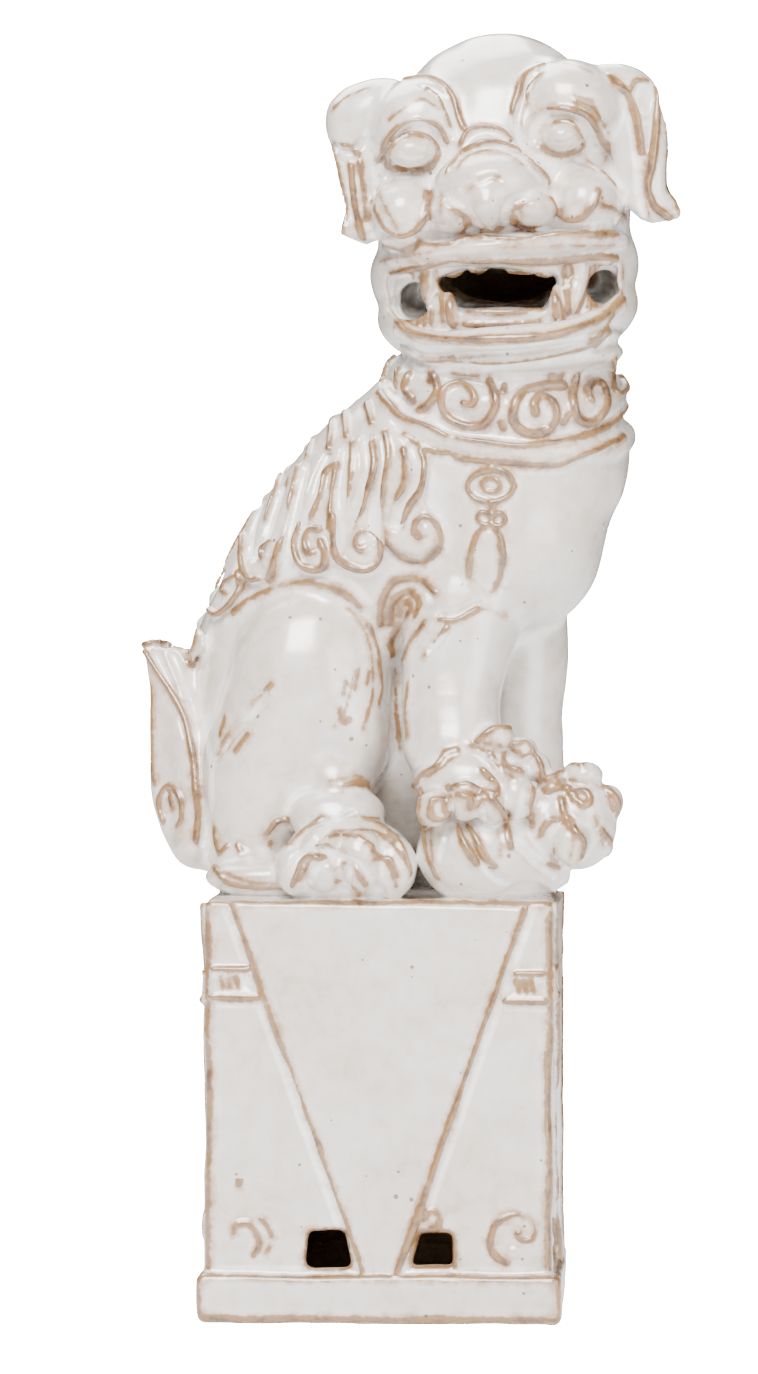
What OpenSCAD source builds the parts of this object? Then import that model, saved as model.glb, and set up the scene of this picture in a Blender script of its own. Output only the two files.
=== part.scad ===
// Guardian lion on a tall square pedestal: hollow stoneware, made as slabs, shells and
// applied pieces that are luted together wet and fired as one. Front faces -Y, up is +Z,
// and the origin is the centre of the foot.

/* [Plinth] */
// Width of the plinth
plinth_w = 109; // [106:1:116]
// Depth of the plinth
plinth_d = 98; // [95:1:104]
// Height of the plinth
plinth_h = 15; // [12:1:18]

/* [Pedestal shaft] */
// Width of the shaft
shaft_w = 104; // [98:1:105]
// Depth of the shaft
shaft_d = 92; // [88:1:94]
// Height of the deck's upper face above the foot
deck_z = 127; // [110:1:140]
// Thickness of the clay slabs
slab = 6; // [5:0.5:8]
// Width of a pedestal window at its sill
window_w = 12.5; // [8:0.5:14]
// Height of a pedestal window
window_h = 10; // [6:0.5:14]
// Distance from the shaft's centre line to a window's near corner
window_x = 8.5; // [7:0.5:12]
// Width of the cloth apron at the deck
apron_top_w = 88; // [70:1:92]
// Width of the cloth apron at the plinth
apron_foot_w = 13; // [8:1:15]
// How far the apron and the sprigs stand out of the slabs
relief = 1.6; // [1:0.1:2.5]

/* [Lion] */
// Turn of the body from the pedestal's side, towards the front
heading = 20; // [12:1:26]
// Turn of the face from the pedestal's front
head_yaw = -2; // [-6:1:6]
// Sideways tilt of the head
head_roll = 4.5; // [0:0.5:8]
// Height of the head's centre above the deck
head_rise = 211; // [208:0.5:213]
// Wall of the hollow body and head
shell = 5; // [4:0.5:7]

/* [Hidden] */

glaze = "ivory";
clay = "burlywood";
round_fn = 24;     // facets round a modelled lump
detail_fn = 14;    // facets round a small sprig
far = 300;         // longer than anything that it cuts

body_x = 1;        // the body's centre line crosses the deck here
body_y = 3;
head_x = 36;       // the head's centre, in plan
head_y = -14;

// ---------- placing and lump helpers ----------

module on_body() {
    translate([body_x, body_y, deck_z]) rotate([0, 0, -heading]) children();
}

module on_head() {
    translate([head_x, head_y, deck_z + head_rise]) rotate([0, -head_roll, head_yaw]) children();
}

// A lump is [x, y, z, r]; squash flattens it sideways.
module lump(p, squash = 1, fn = round_fn) {
    translate([p[0], p[1], p[2]]) scale([1, squash, 1]) sphere(p[3], $fn = fn);
}

// Lumps joined in a row, as a rolled coil of clay is.
module coil(points, squash = 1, fn = round_fn) {
    for (i = [0 : len(points) - 2])
        hull() {
            lump(points[i], squash, fn);
            lump(points[i + 1], squash, fn);
        }
}

// Lumps under one skin.
module skin(points, squash = 1, fn = round_fn) {
    hull() for (p = points) lump(p, squash, fn);
}

module mirror_left() {
    mirror([0, 1, 0]) children();
}

module above_deck() {
    translate([-far / 2, -far / 2, deck_z]) cube([far, far, far]);
}

// A spiral coil in the XZ plane, opening from its eye.
function spiral(eye_r, growth, turns, lay, steps) =
    [for (i = [0 : steps]) let (t = i / steps, a = 360 * turns * t, r = eye_r + growth * t)
        [r * cos(a), 0, r * sin(a), lay]];

// ---------- pedestal ----------

module slab_box(w, d, z0, z1) {
    translate([-w / 2, -d / 2, z0]) cube([w, d, z1 - z0]);
}

module plinth() {
    corner = 4;
    inner_w = shaft_w - 2 * slab;
    inner_d = shaft_d - 2 * slab;
    color(clay) difference() {
        linear_extrude(plinth_h) offset(r = corner, $fn = 32)
            square([plinth_w - 2 * corner, plinth_d - 2 * corner], center = true);
        slab_box(inner_w, inner_d, -1, plinth_h + 1);
    }
}

// One pair of windows, each leaning with the apron's edge beside it.
module windows(y0, depth) {
    lean = 3;
    for (side = [-1, 1])
        translate([0, y0 + depth, plinth_h + 2]) rotate([90, 0, 0]) linear_extrude(depth)
            polygon([[side * window_x, 0], [side * (window_x + window_w), 0],
                     [side * (window_x + window_w - 1), window_h],
                     [side * (window_x + lean), window_h]]);
}

module wall_x(y0, with_windows) {
    color(glaze) difference() {
        translate([-shaft_w / 2, y0, plinth_h]) cube([shaft_w, slab, deck_z - slab - plinth_h]);
        if (with_windows) windows(y0 - 1, slab + 2);
    }
}

module wall_y(x0) {
    color(glaze) difference() {
        translate([x0, -shaft_d / 2 + slab, plinth_h])
            cube([slab, shaft_d - 2 * slab, deck_z - slab - plinth_h]);
        rotate([0, 0, 90]) windows(-x0 - slab - 1, slab + 2);
    }
}

module front_wall() {
    wall_x(-shaft_d / 2, true);
}

module back_wall() {
    wall_x(shaft_d / 2 - slab, true);
}

module left_wall() {
    wall_y(-shaft_w / 2);
}

module right_wall() {
    wall_y(shaft_w / 2 - slab);
}

module deck() {
    color(glaze) slab_box(shaft_w, shaft_d, deck_z - slab, deck_z);
}

// Runs its children once on each face, with +X along the face, -Y out of it, and $half
// set to half the face's width.
module on_each_face() {
    for (turn = [0 : 3]) {
        $half = (turn % 2 == 0 ? shaft_w : shaft_d) / 2;
        reach = (turn % 2 == 0 ? shaft_d : shaft_w) / 2;
        rotate([0, 0, 90 * turn]) translate([0, -reach, 0]) children();
    }
}

// A triangle of cloth hung over each edge of the deck, down to the plinth.
module drape_apron() {
    drop = deck_z - plinth_h;
    side_gap = (shaft_w - apron_top_w) / 2;
    color(glaze) on_each_face() {
        top = $half - side_gap;
        translate([0, 0, plinth_h]) rotate([90, 0, 0])
            linear_extrude(relief) polygon([
                [-apron_foot_w / 2, 0], [apron_foot_w / 2, 0], [top, drop], [-top, drop]]);
    }
}

// Short bands between the apron and the corners, at the waist.
module waist_bands() {
    band_h = 10;
    band_w = 5;
    band_z = 96;
    color(glaze) on_each_face()
        for (side = [-1, 1])
            translate([side * ($half - 2.6) - band_w / 2, -relief, band_z])
                cube([band_w, relief, band_h]);
}

module foot_scrolls() {
    ring_r = 6;
    roll_r = 1.5;
    from_edge = 10;
    color(glaze) on_each_face()
        for (side = [-1, 1])
            difference() {
                translate([side * ($half - from_edge), 0, plinth_h + ring_r + roll_r + 1])
                    rotate([90, 0, 0]) rotate_extrude($fn = 32)
                        translate([ring_r, 0]) circle(roll_r, $fn = 16);
                translate([-far / 2, 0, 0]) cube([far, far, far]);
            }
}

// ---------- body ----------

TORSO = [[-37, 0, 60, 36], [0, 0, 104, 35], [36, 1, 148, 33]];
BELLY = [[-34, 0, 34, 33], [33, 2, 108, 31]];

module torso_form(grow = 0) {
    on_body() {
        coil([for (p = TORSO) p + [0, 0, 0, grow]]);
        skin([for (p = BELLY) p + [0, 0, 0, grow]]);
    }
}

module torso() {
    color(glaze) intersection() {
        difference() {
            torso_form();
            // hollow, open below onto the deck
            torso_form(-shell);
        }
        difference() {
            above_deck();
            head_form();
        }
    }
}

HAUNCH = [[-3, -30, 66, 15], [-18, -23, 73, 27], [-33, -22, 40, 25], [-40, -24, 18, 15]];

module haunch_form() {
    skin([for (p = HAUNCH) [p[0], p[1], p[2], p[3]]], 0.72);
}

HIND_PAW = [[-34, -38, 10, 10], [-12, -40, 12, 11], [6, -42, 12, 12.5]];
HIND_TOES = [[16, -50, 8, 8], [19, -42, 8, 8], [17, -34, 8, 8]];

module hind_paw_form() {
    coil(HIND_PAW);
    for (toe = HIND_TOES) skin([HIND_PAW[2], toe]);
}

module right_haunch() {
    color(glaze) intersection() {
        difference() {
            on_body() haunch_form();
            torso_form();
            on_body() hind_paw_form();
        }
        above_deck();
    }
}

module left_haunch() {
    color(glaze) intersection() {
        difference() {
            on_body() mirror_left() haunch_form();
            torso_form();
            on_body() mirror_left() hind_paw_form();
        }
        above_deck();
    }
}

module right_hind_paw() {
    color(glaze) intersection() {
        difference() {
            on_body() hind_paw_form();
            torso_form();
        }
        above_deck();
    }
}

module left_hind_paw() {
    color(glaze) intersection() {
        difference() {
            on_body() mirror_left() hind_paw_form();
            torso_form();
        }
        above_deck();
    }
}

RIGHT_FORELEG = [[30, -17, 92, 19], [28, -24, 63, 16], [31, -28, 46, 14]];
LEFT_FORELEG = [[34, 15, 90, 17], [34, 15, 45, 13.5], [37, 13, 14, 14]];
RIGHT_FORE_PAW = [[33, -30, 42, 14], [42, -37, 32, 13]];
RIGHT_FORE_TOES = [[55, -47, 27, 7.5], [58, -38, 28, 8], [54, -54, 22, 7]];
LEFT_FORE_PAW = [[40, 14, 9, 13], [46, 12, 8, 11]];
LEFT_FORE_TOES = [[55, 4, 6, 6.5], [58, 11, 6, 6.5], [55, 19, 6, 6.5]];

module right_fore_paw_form() {
    coil(RIGHT_FORE_PAW);
    for (toe = RIGHT_FORE_TOES) skin([RIGHT_FORE_PAW[1], toe]);
}

module left_fore_paw_form() {
    coil(LEFT_FORE_PAW);
    for (toe = LEFT_FORE_TOES) skin([LEFT_FORE_PAW[1], toe]);
}

module right_foreleg() {
    color(glaze) difference() {
        on_body() coil(RIGHT_FORELEG);
        torso_form();
        on_body() right_fore_paw_form();
        cub_body_form();
        on_body() haunch_form();
    }
}

module left_foreleg() {
    color(glaze) intersection() {
        difference() {
            on_body() coil(LEFT_FORELEG);
            torso_form();
            on_body() left_fore_paw_form();
            cub_head_form();
        }
        above_deck();
    }
}

module right_fore_paw() {
    color(glaze) difference() {
        on_body() right_fore_paw_form();
        torso_form();
        cub_body_form();
        cub_head_form();
    }
}

module left_fore_paw() {
    color(glaze) intersection() {
        difference() {
            on_body() left_fore_paw_form();
            torso_form();
            cub_body_form();
            cub_head_form();
        }
        above_deck();
    }
}

// The cub lies on its back under the right forepaw, with its head outwards.
CUB_BODY = [[38, -36, 16, 20], [46, -30, 17, 19]];
CUB_HEAD = [[58, -24, 18, 18], [60, -22, 23, 16.5]];
CUB_EARS = [[58, -13, 36, 5], [72, -18, 32, 4.5]];
CUB_SNOUT = [62, -37, 18, 8];

module cub_body_form() {
    on_body() skin(CUB_BODY);
}

module cub_head_form() {
    on_body() {
        skin(CUB_HEAD);
        for (ear = CUB_EARS) skin([ear, CUB_HEAD[1] + [0, 0, 4, -8]]);
        skin([CUB_SNOUT, CUB_HEAD[0]]);
    }
}

module cub_body() {
    color(glaze) intersection() {
        difference() {
            cub_body_form();
            cub_head_form();
            torso_form();
        }
        above_deck();
    }
}

module cub_head() {
    color(glaze) intersection() {
        difference() {
            cub_head_form();
            torso_form();
        }
        above_deck();
    }
}

// A plume standing against the rump, broad across the body and curled at its root.
TAIL_RIBS = [[-77, 0, 73, 4], [-74, 0, 53, 8], [-67, 0, 25, 10], [-56, 0, 8, 8]];

module tail() {
    color(glaze) intersection() {
        difference() {
            on_body() for (lean = [-1, 0, 1])
                coil([for (p = TAIL_RIBS)
                    [p[0] + 4 * abs(lean), lean * (6 + p[2] / 7), p[2] * (1 - 0.08 * abs(lean)), p[3]]]);
            torso_form();
        }
        above_deck();
    }
}

// ---------- head ----------

// In the head's own frame: +X its left, -Y out of the face, +Z up.
SKULL = [[0, 5, 18, 33], [-7, 2, 0, 33], [7, 2, 0, 33]];
BROWS = [[-20, -23, 25, 13], [20, -23, 25, 13]];
MUZZLE = [[-20, -24, -9, 15], [20, -24, -9, 15], [0, -26, -4, 15]];
JAW = [[-23, -19, -34, 13], [23, -19, -34, 13], [0, -26, -36, 13]];
JAW_BACK = [[-20, 2, -32, 16], [20, 2, -32, 16]];
MOUTH_LOW = -31;   // the gape, in the head's own frame
MOUTH_HIGH = -21;
GAPE_W = 30;       // width of the opening into the hollow head

module upper_form() {
    on_head() {
        skin(SKULL);
        skin(concat(BROWS, [[0, 0, 10, 30]]));
        skin(concat(MUZZLE, [[0, 0, 6, 30]]));
    }
}

module jaw_form() {
    on_head() skin(concat(JAW, JAW_BACK));
}

module head_form() {
    upper_form();
    jaw_form();
}

// The gape: shallow where the side teeth stand, and through to the hollow head between them.
module gape() {
    gape_h = MOUTH_HIGH - MOUTH_LOW;
    cheek_w = 58;
    cheek_y = -36;
    on_head() {
        translate([-cheek_w / 2, cheek_y - far, MOUTH_LOW]) cube([cheek_w, far, gape_h]);
        translate([-GAPE_W / 2, -far, MOUTH_LOW]) cube([GAPE_W, far, gape_h]);
        scale([1, 1, 1.2]) translate([0, 2, 6]) sphere(26, $fn = round_fn);
    }
}

module below_mouth() {
    on_head() translate([-far / 2, -far / 2, MOUTH_LOW - far]) cube([far, far, far]);
}

module head_shell() {
    color(glaze) difference() {
        upper_form();
        gape();
        jaw_part();
        nose_form();
        eyeballs_form();
        teeth(1);
    }
}

module jaw_part() {
    intersection() {
        jaw_form();
        below_mouth();
    }
}

module lower_jaw() {
    color(glaze) difference() {
        jaw_part();
        on_head() translate([0, -4, -28]) scale([1.5, 1.4, 1]) sphere(14, $fn = round_fn);
        teeth(-1);
    }
}

module nose_form() {
    on_head() {
        skin([[0, -38, 3, 8], [0, -35, 14, 6]]);
        for (side = [-1, 1]) skin([[side * 11, -37, -2, 6.5], [0, -38, 1, 7.5]]);
    }
}

module nose() {
    color(glaze) difference() {
        nose_form();
        gape();
    }
}

module eyeballs_form() {
    on_head() for (side = [-1, 1]) skin([[side * 20, -31, 19, 5.5], [side * 24, -29.5, 18.5, 5.5]]);
}

module eyeballs() {
    color(glaze) eyeballs_form();
}

// level 1 is the upper row, which hangs; level -1 the lower, which stands
module teeth(level) {
    root_z = level > 0 ? MOUTH_HIGH : MOUTH_LOW;
    fang = 5;
    fang_x = level > 0 ? 20 : 14;
    on_head() for (side = [-1, 1]) {
        hull() {
            lump([side * fang_x, -35, root_z + level * 2, 3], 1, detail_fn);
            lump([side * fang_x, -36, root_z - level * fang, 1.5], 1, detail_fn);
        }
        hull() for (x = [3, 9])
            lump([side * x, -37, root_z + level, 2], 1, detail_fn);
    }
}

module upper_teeth() {
    color(glaze) teeth(1);
}

module lower_teeth() {
    color(glaze) teeth(-1);
}

// A lop ear: a flap folded at its top and flared at its tip, hung from the side of the skull.
EAR_INNER = [[30, 2, 36, 6], [35, -2, 14, 4], [41, -5, 0, 3]];
EAR_OUTER = [[43, -2, 32, 6], [46, -6, 11, 4.5], [49.5, -8, -7, 2.5]];

module ear_form() {
    for (i = [0 : 1])
        skin([EAR_INNER[i], EAR_INNER[i + 1], EAR_OUTER[i], EAR_OUTER[i + 1]], 1, detail_fn);
}

module left_ear() {
    color(glaze) difference() {
        on_head() ear_form();
        upper_form();
        jaw_part();
    }
}

module right_ear() {
    color(glaze) difference() {
        on_head() mirror([1, 0, 0]) ear_form();
        upper_form();
        jaw_part();
    }
}

// ---------- collar, pendant and mane ----------

COLLAR_AT = [34, -3, 139];
COLLAR_R = 37;
COLLAR_TILT = 12;
ROLL_R = 3.6;

module on_collar() {
    translate(COLLAR_AT + [0, 0, deck_z]) rotate([COLLAR_TILT, 0, 0]) children();
}

module collar_roll_form() {
    on_collar() rotate_extrude($fn = 32) translate([COLLAR_R, 0]) circle(ROLL_R, $fn = detail_fn);
}

module collar_roll() {
    color(glaze) difference() {
        collar_roll_form();
        torso_form();
        head_form();
    }
}

module collar_scrolls() {
    count = 10;
    disc_r = 8;
    color(glaze) difference() {
        on_collar() for (i = [0 : count - 1])
            rotate([0, 0, 360 * (i + 0.5) / count]) translate([COLLAR_R - 1.5, 0, 10.5])
                scale([0.5, 1, 1]) sphere(disc_r, $fn = detail_fn);
        torso_form();
        head_form();
        collar_roll_form();
    }
}

module chest_pendant() {
    ring_r = 4.2;
    color(glaze) difference() {
        translate([34, -40, deck_z]) {
            for (a = [0 : 45 : 315])
                skin([for (b = [a, a + 45]) [ring_r * cos(b), 0, 123 + ring_r * sin(b), 1.4]],
                    1, detail_fn);
            skin([[0, 0, 117, 3], [-1, 1, 96, 3.6]], 1, detail_fn);
        }
        torso_form();
    }
}

// Six long locks down each flank, each ending in a curl.
MANE_LOCKS = 6;

LOCK_PITCH = 14;   // along the flank

module lock(i) {
    tip = [20 - LOCK_PITCH * i, -34 + i, 110 - 7 * i];
    root = [24 - 8 * i, -31 + 1.5 * i, 147 - 9 * i];
    skin([[root[0], root[1], root[2], 4], [tip[0], tip[1], tip[2] + 8, 5]], 1, detail_fn);
    skin([[tip[0], tip[1], tip[2], 6.5], [tip[0], tip[1], tip[2] + 8, 5]], 1, detail_fn);
}

module mane_form() {
    for (i = [0 : MANE_LOCKS - 1]) lock(i);
}

module right_mane() {
    color(glaze) difference() {
        on_body() mane_form();
        torso_form();
        on_body() {
            haunch_form();
            coil(RIGHT_FORELEG);
        }
        head_form();
    }
}

module left_mane() {
    color(glaze) difference() {
        on_body() mirror_left() mane_form();
        torso_form();
        on_body() {
            mirror_left() haunch_form();
            coil(LEFT_FORELEG);
        }
        head_form();
    }
}

// A row of rolled beads down the spine.
module spine_curls() {
    beads = 6;
    first = [-9, -1, 160];
    step = [-11.4, 0, -15.6];
    color(glaze) difference() {
        on_body() for (i = [0 : beads - 1]) {
            p = first + i * step;
            skin([[p[0], p[1], p[2], 5], [p[0] - 4, p[1], p[2] - 7, 5.5]], 1.1, detail_fn);
        }
        torso_form();
        head_form();
    }
}

plinth();
front_wall();
back_wall();
left_wall();
right_wall();
deck();
drape_apron();
waist_bands();
foot_scrolls();
torso();
right_haunch();
left_haunch();
right_hind_paw();
left_hind_paw();
right_foreleg();
left_foreleg();
right_fore_paw();
left_fore_paw();
tail();
cub_body();
cub_head();
head_shell();
lower_jaw();
nose();
eyeballs();
upper_teeth();
lower_teeth();
left_ear();
right_ear();
collar_roll();
collar_scrolls();
chest_pendant();
right_mane();
left_mane();
spine_curls();
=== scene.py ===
import math

import bpy
import numpy as np
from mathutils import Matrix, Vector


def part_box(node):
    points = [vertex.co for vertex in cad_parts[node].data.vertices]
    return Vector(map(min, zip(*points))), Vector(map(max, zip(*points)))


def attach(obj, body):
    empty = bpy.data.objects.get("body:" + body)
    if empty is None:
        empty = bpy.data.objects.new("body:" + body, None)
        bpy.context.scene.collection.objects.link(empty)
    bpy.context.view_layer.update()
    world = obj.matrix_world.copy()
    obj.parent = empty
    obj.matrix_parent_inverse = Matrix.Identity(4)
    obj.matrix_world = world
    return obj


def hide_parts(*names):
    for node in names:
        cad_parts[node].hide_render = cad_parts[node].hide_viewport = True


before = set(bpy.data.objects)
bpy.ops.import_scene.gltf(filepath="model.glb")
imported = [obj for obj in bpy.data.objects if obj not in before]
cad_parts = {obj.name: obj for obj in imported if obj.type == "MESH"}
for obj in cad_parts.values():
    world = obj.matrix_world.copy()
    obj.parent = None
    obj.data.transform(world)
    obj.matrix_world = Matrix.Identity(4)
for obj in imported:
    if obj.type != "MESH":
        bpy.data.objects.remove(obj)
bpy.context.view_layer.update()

import openvdb
from mathutils import Vector


# ---- Camera ----
# Looks at the statue's front from a step to the right of it and a little above its middle.

CAMERA_AIM = Vector((-0.0021, 0, 0.190))
CAMERA_AWAY = 1.9
CAMERA_HEIGHT = 0.226
SIDE_STEP = math.radians(2.75)


def put(name, data):
    """A new object, placed in the scene."""
    thing = bpy.data.objects.new(name, data)
    bpy.context.scene.collection.objects.link(thing)
    return thing


camera_data = bpy.data.cameras.new("camera")
camera_data.sensor_fit = "VERTICAL"
camera_data.sensor_height = 36
camera_data.lens = 162.5
camera_data.clip_end = 20
camera = put("camera", camera_data)
bpy.context.scene.camera = camera
way = Vector((math.sin(SIDE_STEP), -math.cos(SIDE_STEP), 0))
camera.location = CAMERA_AIM + way * CAMERA_AWAY
camera.location.z = CAMERA_HEIGHT
camera.rotation_euler = (CAMERA_AIM - camera.location).to_track_quat("-Z", "Y").to_euler()


# ---- Pedestal ----
# A hollow box of slab: a thick foot ring, four walls with two firing vents each, and a
# deck on top. The walls are butted and luted at the corners, and their edges sponged round.
# All the clay of the statue is held the same way, as the distance to its surface, in mm, at
# the points of one lattice, so that luted joins run smoothly from piece to piece.

CELL = 0.6    # from one point of the lattice to the next
FAR = 30.0     # the distance written where there is no clay near
REACH = 7.0    # how far outside a shape its distances are kept
UNMARKED = 9.0    # the distance to a line, where none is near

pieces = []    # every piece of clay that stands for a node, in the order it is made


def soft_min(a, b, soft):
    """The nearer of two surfaces, blended over the width soft where they meet."""
    gap = np.maximum(soft - np.abs(a - b), 0)
    return np.minimum(a, b) - gap * gap / (4 * soft)


def between(field, whole, part):
    """A field's values between its points, from whole steps and the parts of a step left."""
    out = 0
    for dx, dy, dz in np.ndindex(2, 2, 2):
        weight = (np.abs(1 - dx - part[:, 0]) * np.abs(1 - dy - part[:, 1])
                  * np.abs(1 - dz - part[:, 2]))
        out = out + weight * field[whole[:, 0] + dx, whole[:, 1] + dy, whole[:, 2] + dz]
    return out


def counted_from(where, part):
    """A small window's slices, counted from the start of a larger one."""
    return tuple(slice(p.start - w.start, p.stop - w.start) for p, w in zip(part, where))


def smooth_path(points, step=0.8):
    """A curve through the points, as close-set points."""
    p = np.array(points, float)
    if len(p) == 2:
        n = max(2, int(np.linalg.norm(p[1] - p[0]) / step) + 1)
        return p[0] + (p[1] - p[0]) * np.linspace(0, 1, n)[:, None]
    p = np.vstack([2 * p[0] - p[1], p, 2 * p[-1] - p[-2]])
    out = []
    for a, b, c, d in zip(p[:-3], p[1:-2], p[2:-1], p[3:]):
        n = max(1, int(np.linalg.norm(c - b) / step))
        t = np.linspace(0, 1, n, endpoint=False)[:, None]
        out.append(0.5 * (2 * b + (c - a) * t + (2 * a - 5 * b + 4 * c - d) * t**2
                          + (3 * b - a - 3 * c + d) * t**3))
    return np.vstack(out + [p[-2:-1]])


def spread(values, count):
    """A few values, spread evenly over count places."""
    return np.interp(np.linspace(0, 1, count), np.linspace(0, 1, len(values)), values)


class Board:
    """A drawing board: across, up and out of it, in mm, from a point of the statue. What is
    drawn on it at depth is carried to the clay straight back, or away from the eye."""

    def __init__(self, origin=(0, 0, 0), yaw=0.0, roll=0.0, depth=0.0, eye=None):
        cy, sy = math.cos(math.radians(yaw)), math.sin(math.radians(yaw))
        cr, sr = math.cos(math.radians(roll)), math.sin(math.radians(roll))
        turn = np.array([[cy, -sy, 0], [sy, cy, 0], [0, 0, 1]])
        tilt = np.array([[cr, 0, -sr], [0, 1, 0], [sr, 0, cr]])
        self.axes = (turn @ tilt) @ np.array([[1, 0, 0], [0, 0, -1], [0, 1, 0]])
        self.origin = np.array(origin, float)
        self.depth = depth
        self.eye = None if eye is None else np.array(eye, float)

    def at(self, across, up, out=0.0):
        return self.origin + self.axes @ np.array([across, up, out], float)

    def all(self, points):
        return self.origin + np.array(points, float) @ self.axes.T

    def rays(self, drawing):
        """For each point of a drawing, its place at depth and the way it is carried."""
        p = self.all([(q[0], q[1], q[2] if len(q) > 2 else self.depth) for q in drawing])
        if self.eye is None:
            return p, np.repeat(-self.axes[:, 2][None], len(p), 0)
        way = p - self.eye
        return p, way / np.linalg.norm(way, axis=1, keepdims=True)

    def flatten(self, x, y, z):
        """Where points of the statue lie on the board, and how far out of it."""
        x, y, z = x - self.origin[0], y - self.origin[1], z - self.origin[2]
        a, u, o = [x * m[0] + y * m[1] + z * m[2] for m in self.axes.T]
        if self.eye is not None:
            ea, eu, eo = self.axes.T @ (self.eye - self.origin)
            s = (eo - self.depth) / (eo - o)
            a, u = ea + (a - ea) * s, eu + (u - eu) * s
        return a, u, o


class Clay:
    """One piece of clay, in the space its CAD node holds. join is how softly it is luted."""

    def __init__(self, node, join=2.5, low=None, high=None, spare=6):
        self.node, self.join = node, join
        if low is None:
            low, high = [np.array(c) * 1000 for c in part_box(node)]
        pad = REACH + spare
        self.start = np.floor((np.array(low) - pad) / CELL).astype(int)
        self.count = np.ceil((np.array(high) + pad) / CELL).astype(int) - self.start
        self.d = np.full(self.count, FAR, np.float32)
        self.crest = np.full(self.count, UNMARKED, np.float32)
        self.pool = np.full(self.count, UNMARKED, np.float32)
        if node:
            pieces.append(self)

    def window(self, low, high):
        """The lattice between two corners: its slices, and its coordinates."""
        a = np.clip(np.floor(np.array(low) / CELL).astype(int) - self.start, 0, self.count)
        b = np.clip(np.ceil(np.array(high) / CELL).astype(int) + 1 - self.start, 0, self.count)
        axes = [((np.arange(i, j) + s) * CELL).astype(np.float32)
                for i, j, s in zip(a, b, self.start)]
        return tuple(slice(i, j) for i, j in zip(a, b)), np.meshgrid(
            *axes, indexing="ij", sparse=True)

    def add(self, where, shape, soft=2.5):
        """Lays a shape on, luted over the width soft."""
        self.d[where] = soft_min(self.d[where], shape, soft)

    def take(self, where, shape, soft=1.0):
        """Cuts a shape away."""
        self.d[where] = -soft_min(-self.d[where], shape, soft)

    def block(self, low, high, rounding=2.0):
        """Distances to a slab with rounded edges."""
        low, high = np.array(low, float), np.array(high, float)
        where, xyz = self.window(low - REACH, high + REACH)
        middle, half = (low + high) / 2, (high - low) / 2 - rounding
        q = [np.abs(c - m) - h for c, m, h in zip(xyz, middle, half)]
        outside = np.sqrt(sum(np.maximum(c, 0) ** 2 for c in q))
        inside = np.minimum(np.maximum(np.maximum(q[0], q[1]), q[2]), 0)
        return where, outside + inside - rounding

    def ball(self, at, size, board=Board(), turn=0.0):
        """Distances to an egg shape of half sizes across, up and out."""
        c, s = math.cos(math.radians(turn)), math.sin(math.radians(turn))
        axes = board.axes @ np.array([[c, -s, 0], [s, c, 0], [0, 0, 1]])
        centre = board.at(*at)
        size = np.array(size, float)
        half = np.sqrt(((axes * size) ** 2).sum(1)) + REACH
        where, (x, y, z) = self.window(centre - half, centre + half)
        x, y, z = x - centre[0], y - centre[1], z - centre[2]
        k0 = k1 = 0
        for i in range(3):
            q = x * axes[0, i] + y * axes[1, i] + z * axes[2, i]
            k0 = k0 + (q / size[i]) ** 2
            k1 = k1 + (q / size[i] ** 2) ** 2
        k0, k1 = np.sqrt(k0), np.sqrt(k1)
        return where, k0 * (k0 - 1) / np.maximum(k1, 1e-6)

    def lump(self, at, size, board=Board(), turn=0.0, soft=3.0):
        """Lays on an egg-shaped lump."""
        self.add(*self.ball(at, size, board, turn), soft)

    def scoop(self, at, size, board=Board(), turn=0.0, soft=1.5):
        """Cuts out an egg-shaped hollow."""
        self.take(*self.ball(at, size, board, turn), soft)

    def rod(self, path, radii, reach):
        """Distances to a coil of changing radius laid along close-set points."""
        path = np.array(path, float)
        radii = spread(radii, len(path))
        pad = radii.max() + reach
        where, _ = self.window(path.min(0) - pad, path.max(0) + pad)
        shape = np.full([s.stop - s.start for s in where], FAR, np.float32)
        if not shape.size:
            return where, shape
        for a, b, ra, rb in zip(path[:-1], path[1:], radii[:-1], radii[1:]):
            pad = max(ra, rb) + reach
            part, (x, y, z) = self.window(np.minimum(a, b) - pad, np.maximum(a, b) + pad)
            local = counted_from(where, part)
            x, y, z = x - a[0], y - a[1], z - a[2]
            v = b - a
            t = np.clip((x * v[0] + y * v[1] + z * v[2]) / max(v @ v, 1e-9), 0, 1)
            away = np.sqrt((x - t * v[0]) ** 2 + (y - t * v[1]) ** 2 + (z - t * v[2]) ** 2)
            shape[local] = np.minimum(shape[local], away - (ra + t * (rb - ra)))
        return where, shape

    def coil(self, path, radii, soft=3.0):
        """Lays on a rolled coil."""
        self.add(*self.rod(smooth_path(path, 2.0), radii, REACH), soft)

    def flap(self, edge_a, edge_b, radii, soft=2.0, step=1.2):
        """A sheet of clay stretched between two edges."""
        a, b = smooth_path(edge_a, step), smooth_path(edge_b, step)
        n = max(len(a), len(b))
        a, b = [np.stack([spread(e[:, i], n) for i in range(3)], 1) for e in (a, b)]
        pad = max(radii) + 5
        both = np.vstack([a, b])
        where, _ = self.window(both.min(0) - pad, both.max(0) + pad)
        shape = np.full([s.stop - s.start for s in where], FAR, np.float32)
        for i, r in zip(range(n), spread(radii, n)):
            part, bar = self.rod([a[i], b[i]], [r, r], 5)
            local = counted_from(where, part)
            shape[local] = np.minimum(shape[local], bar)
        self.add(where, shape, soft)

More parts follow.
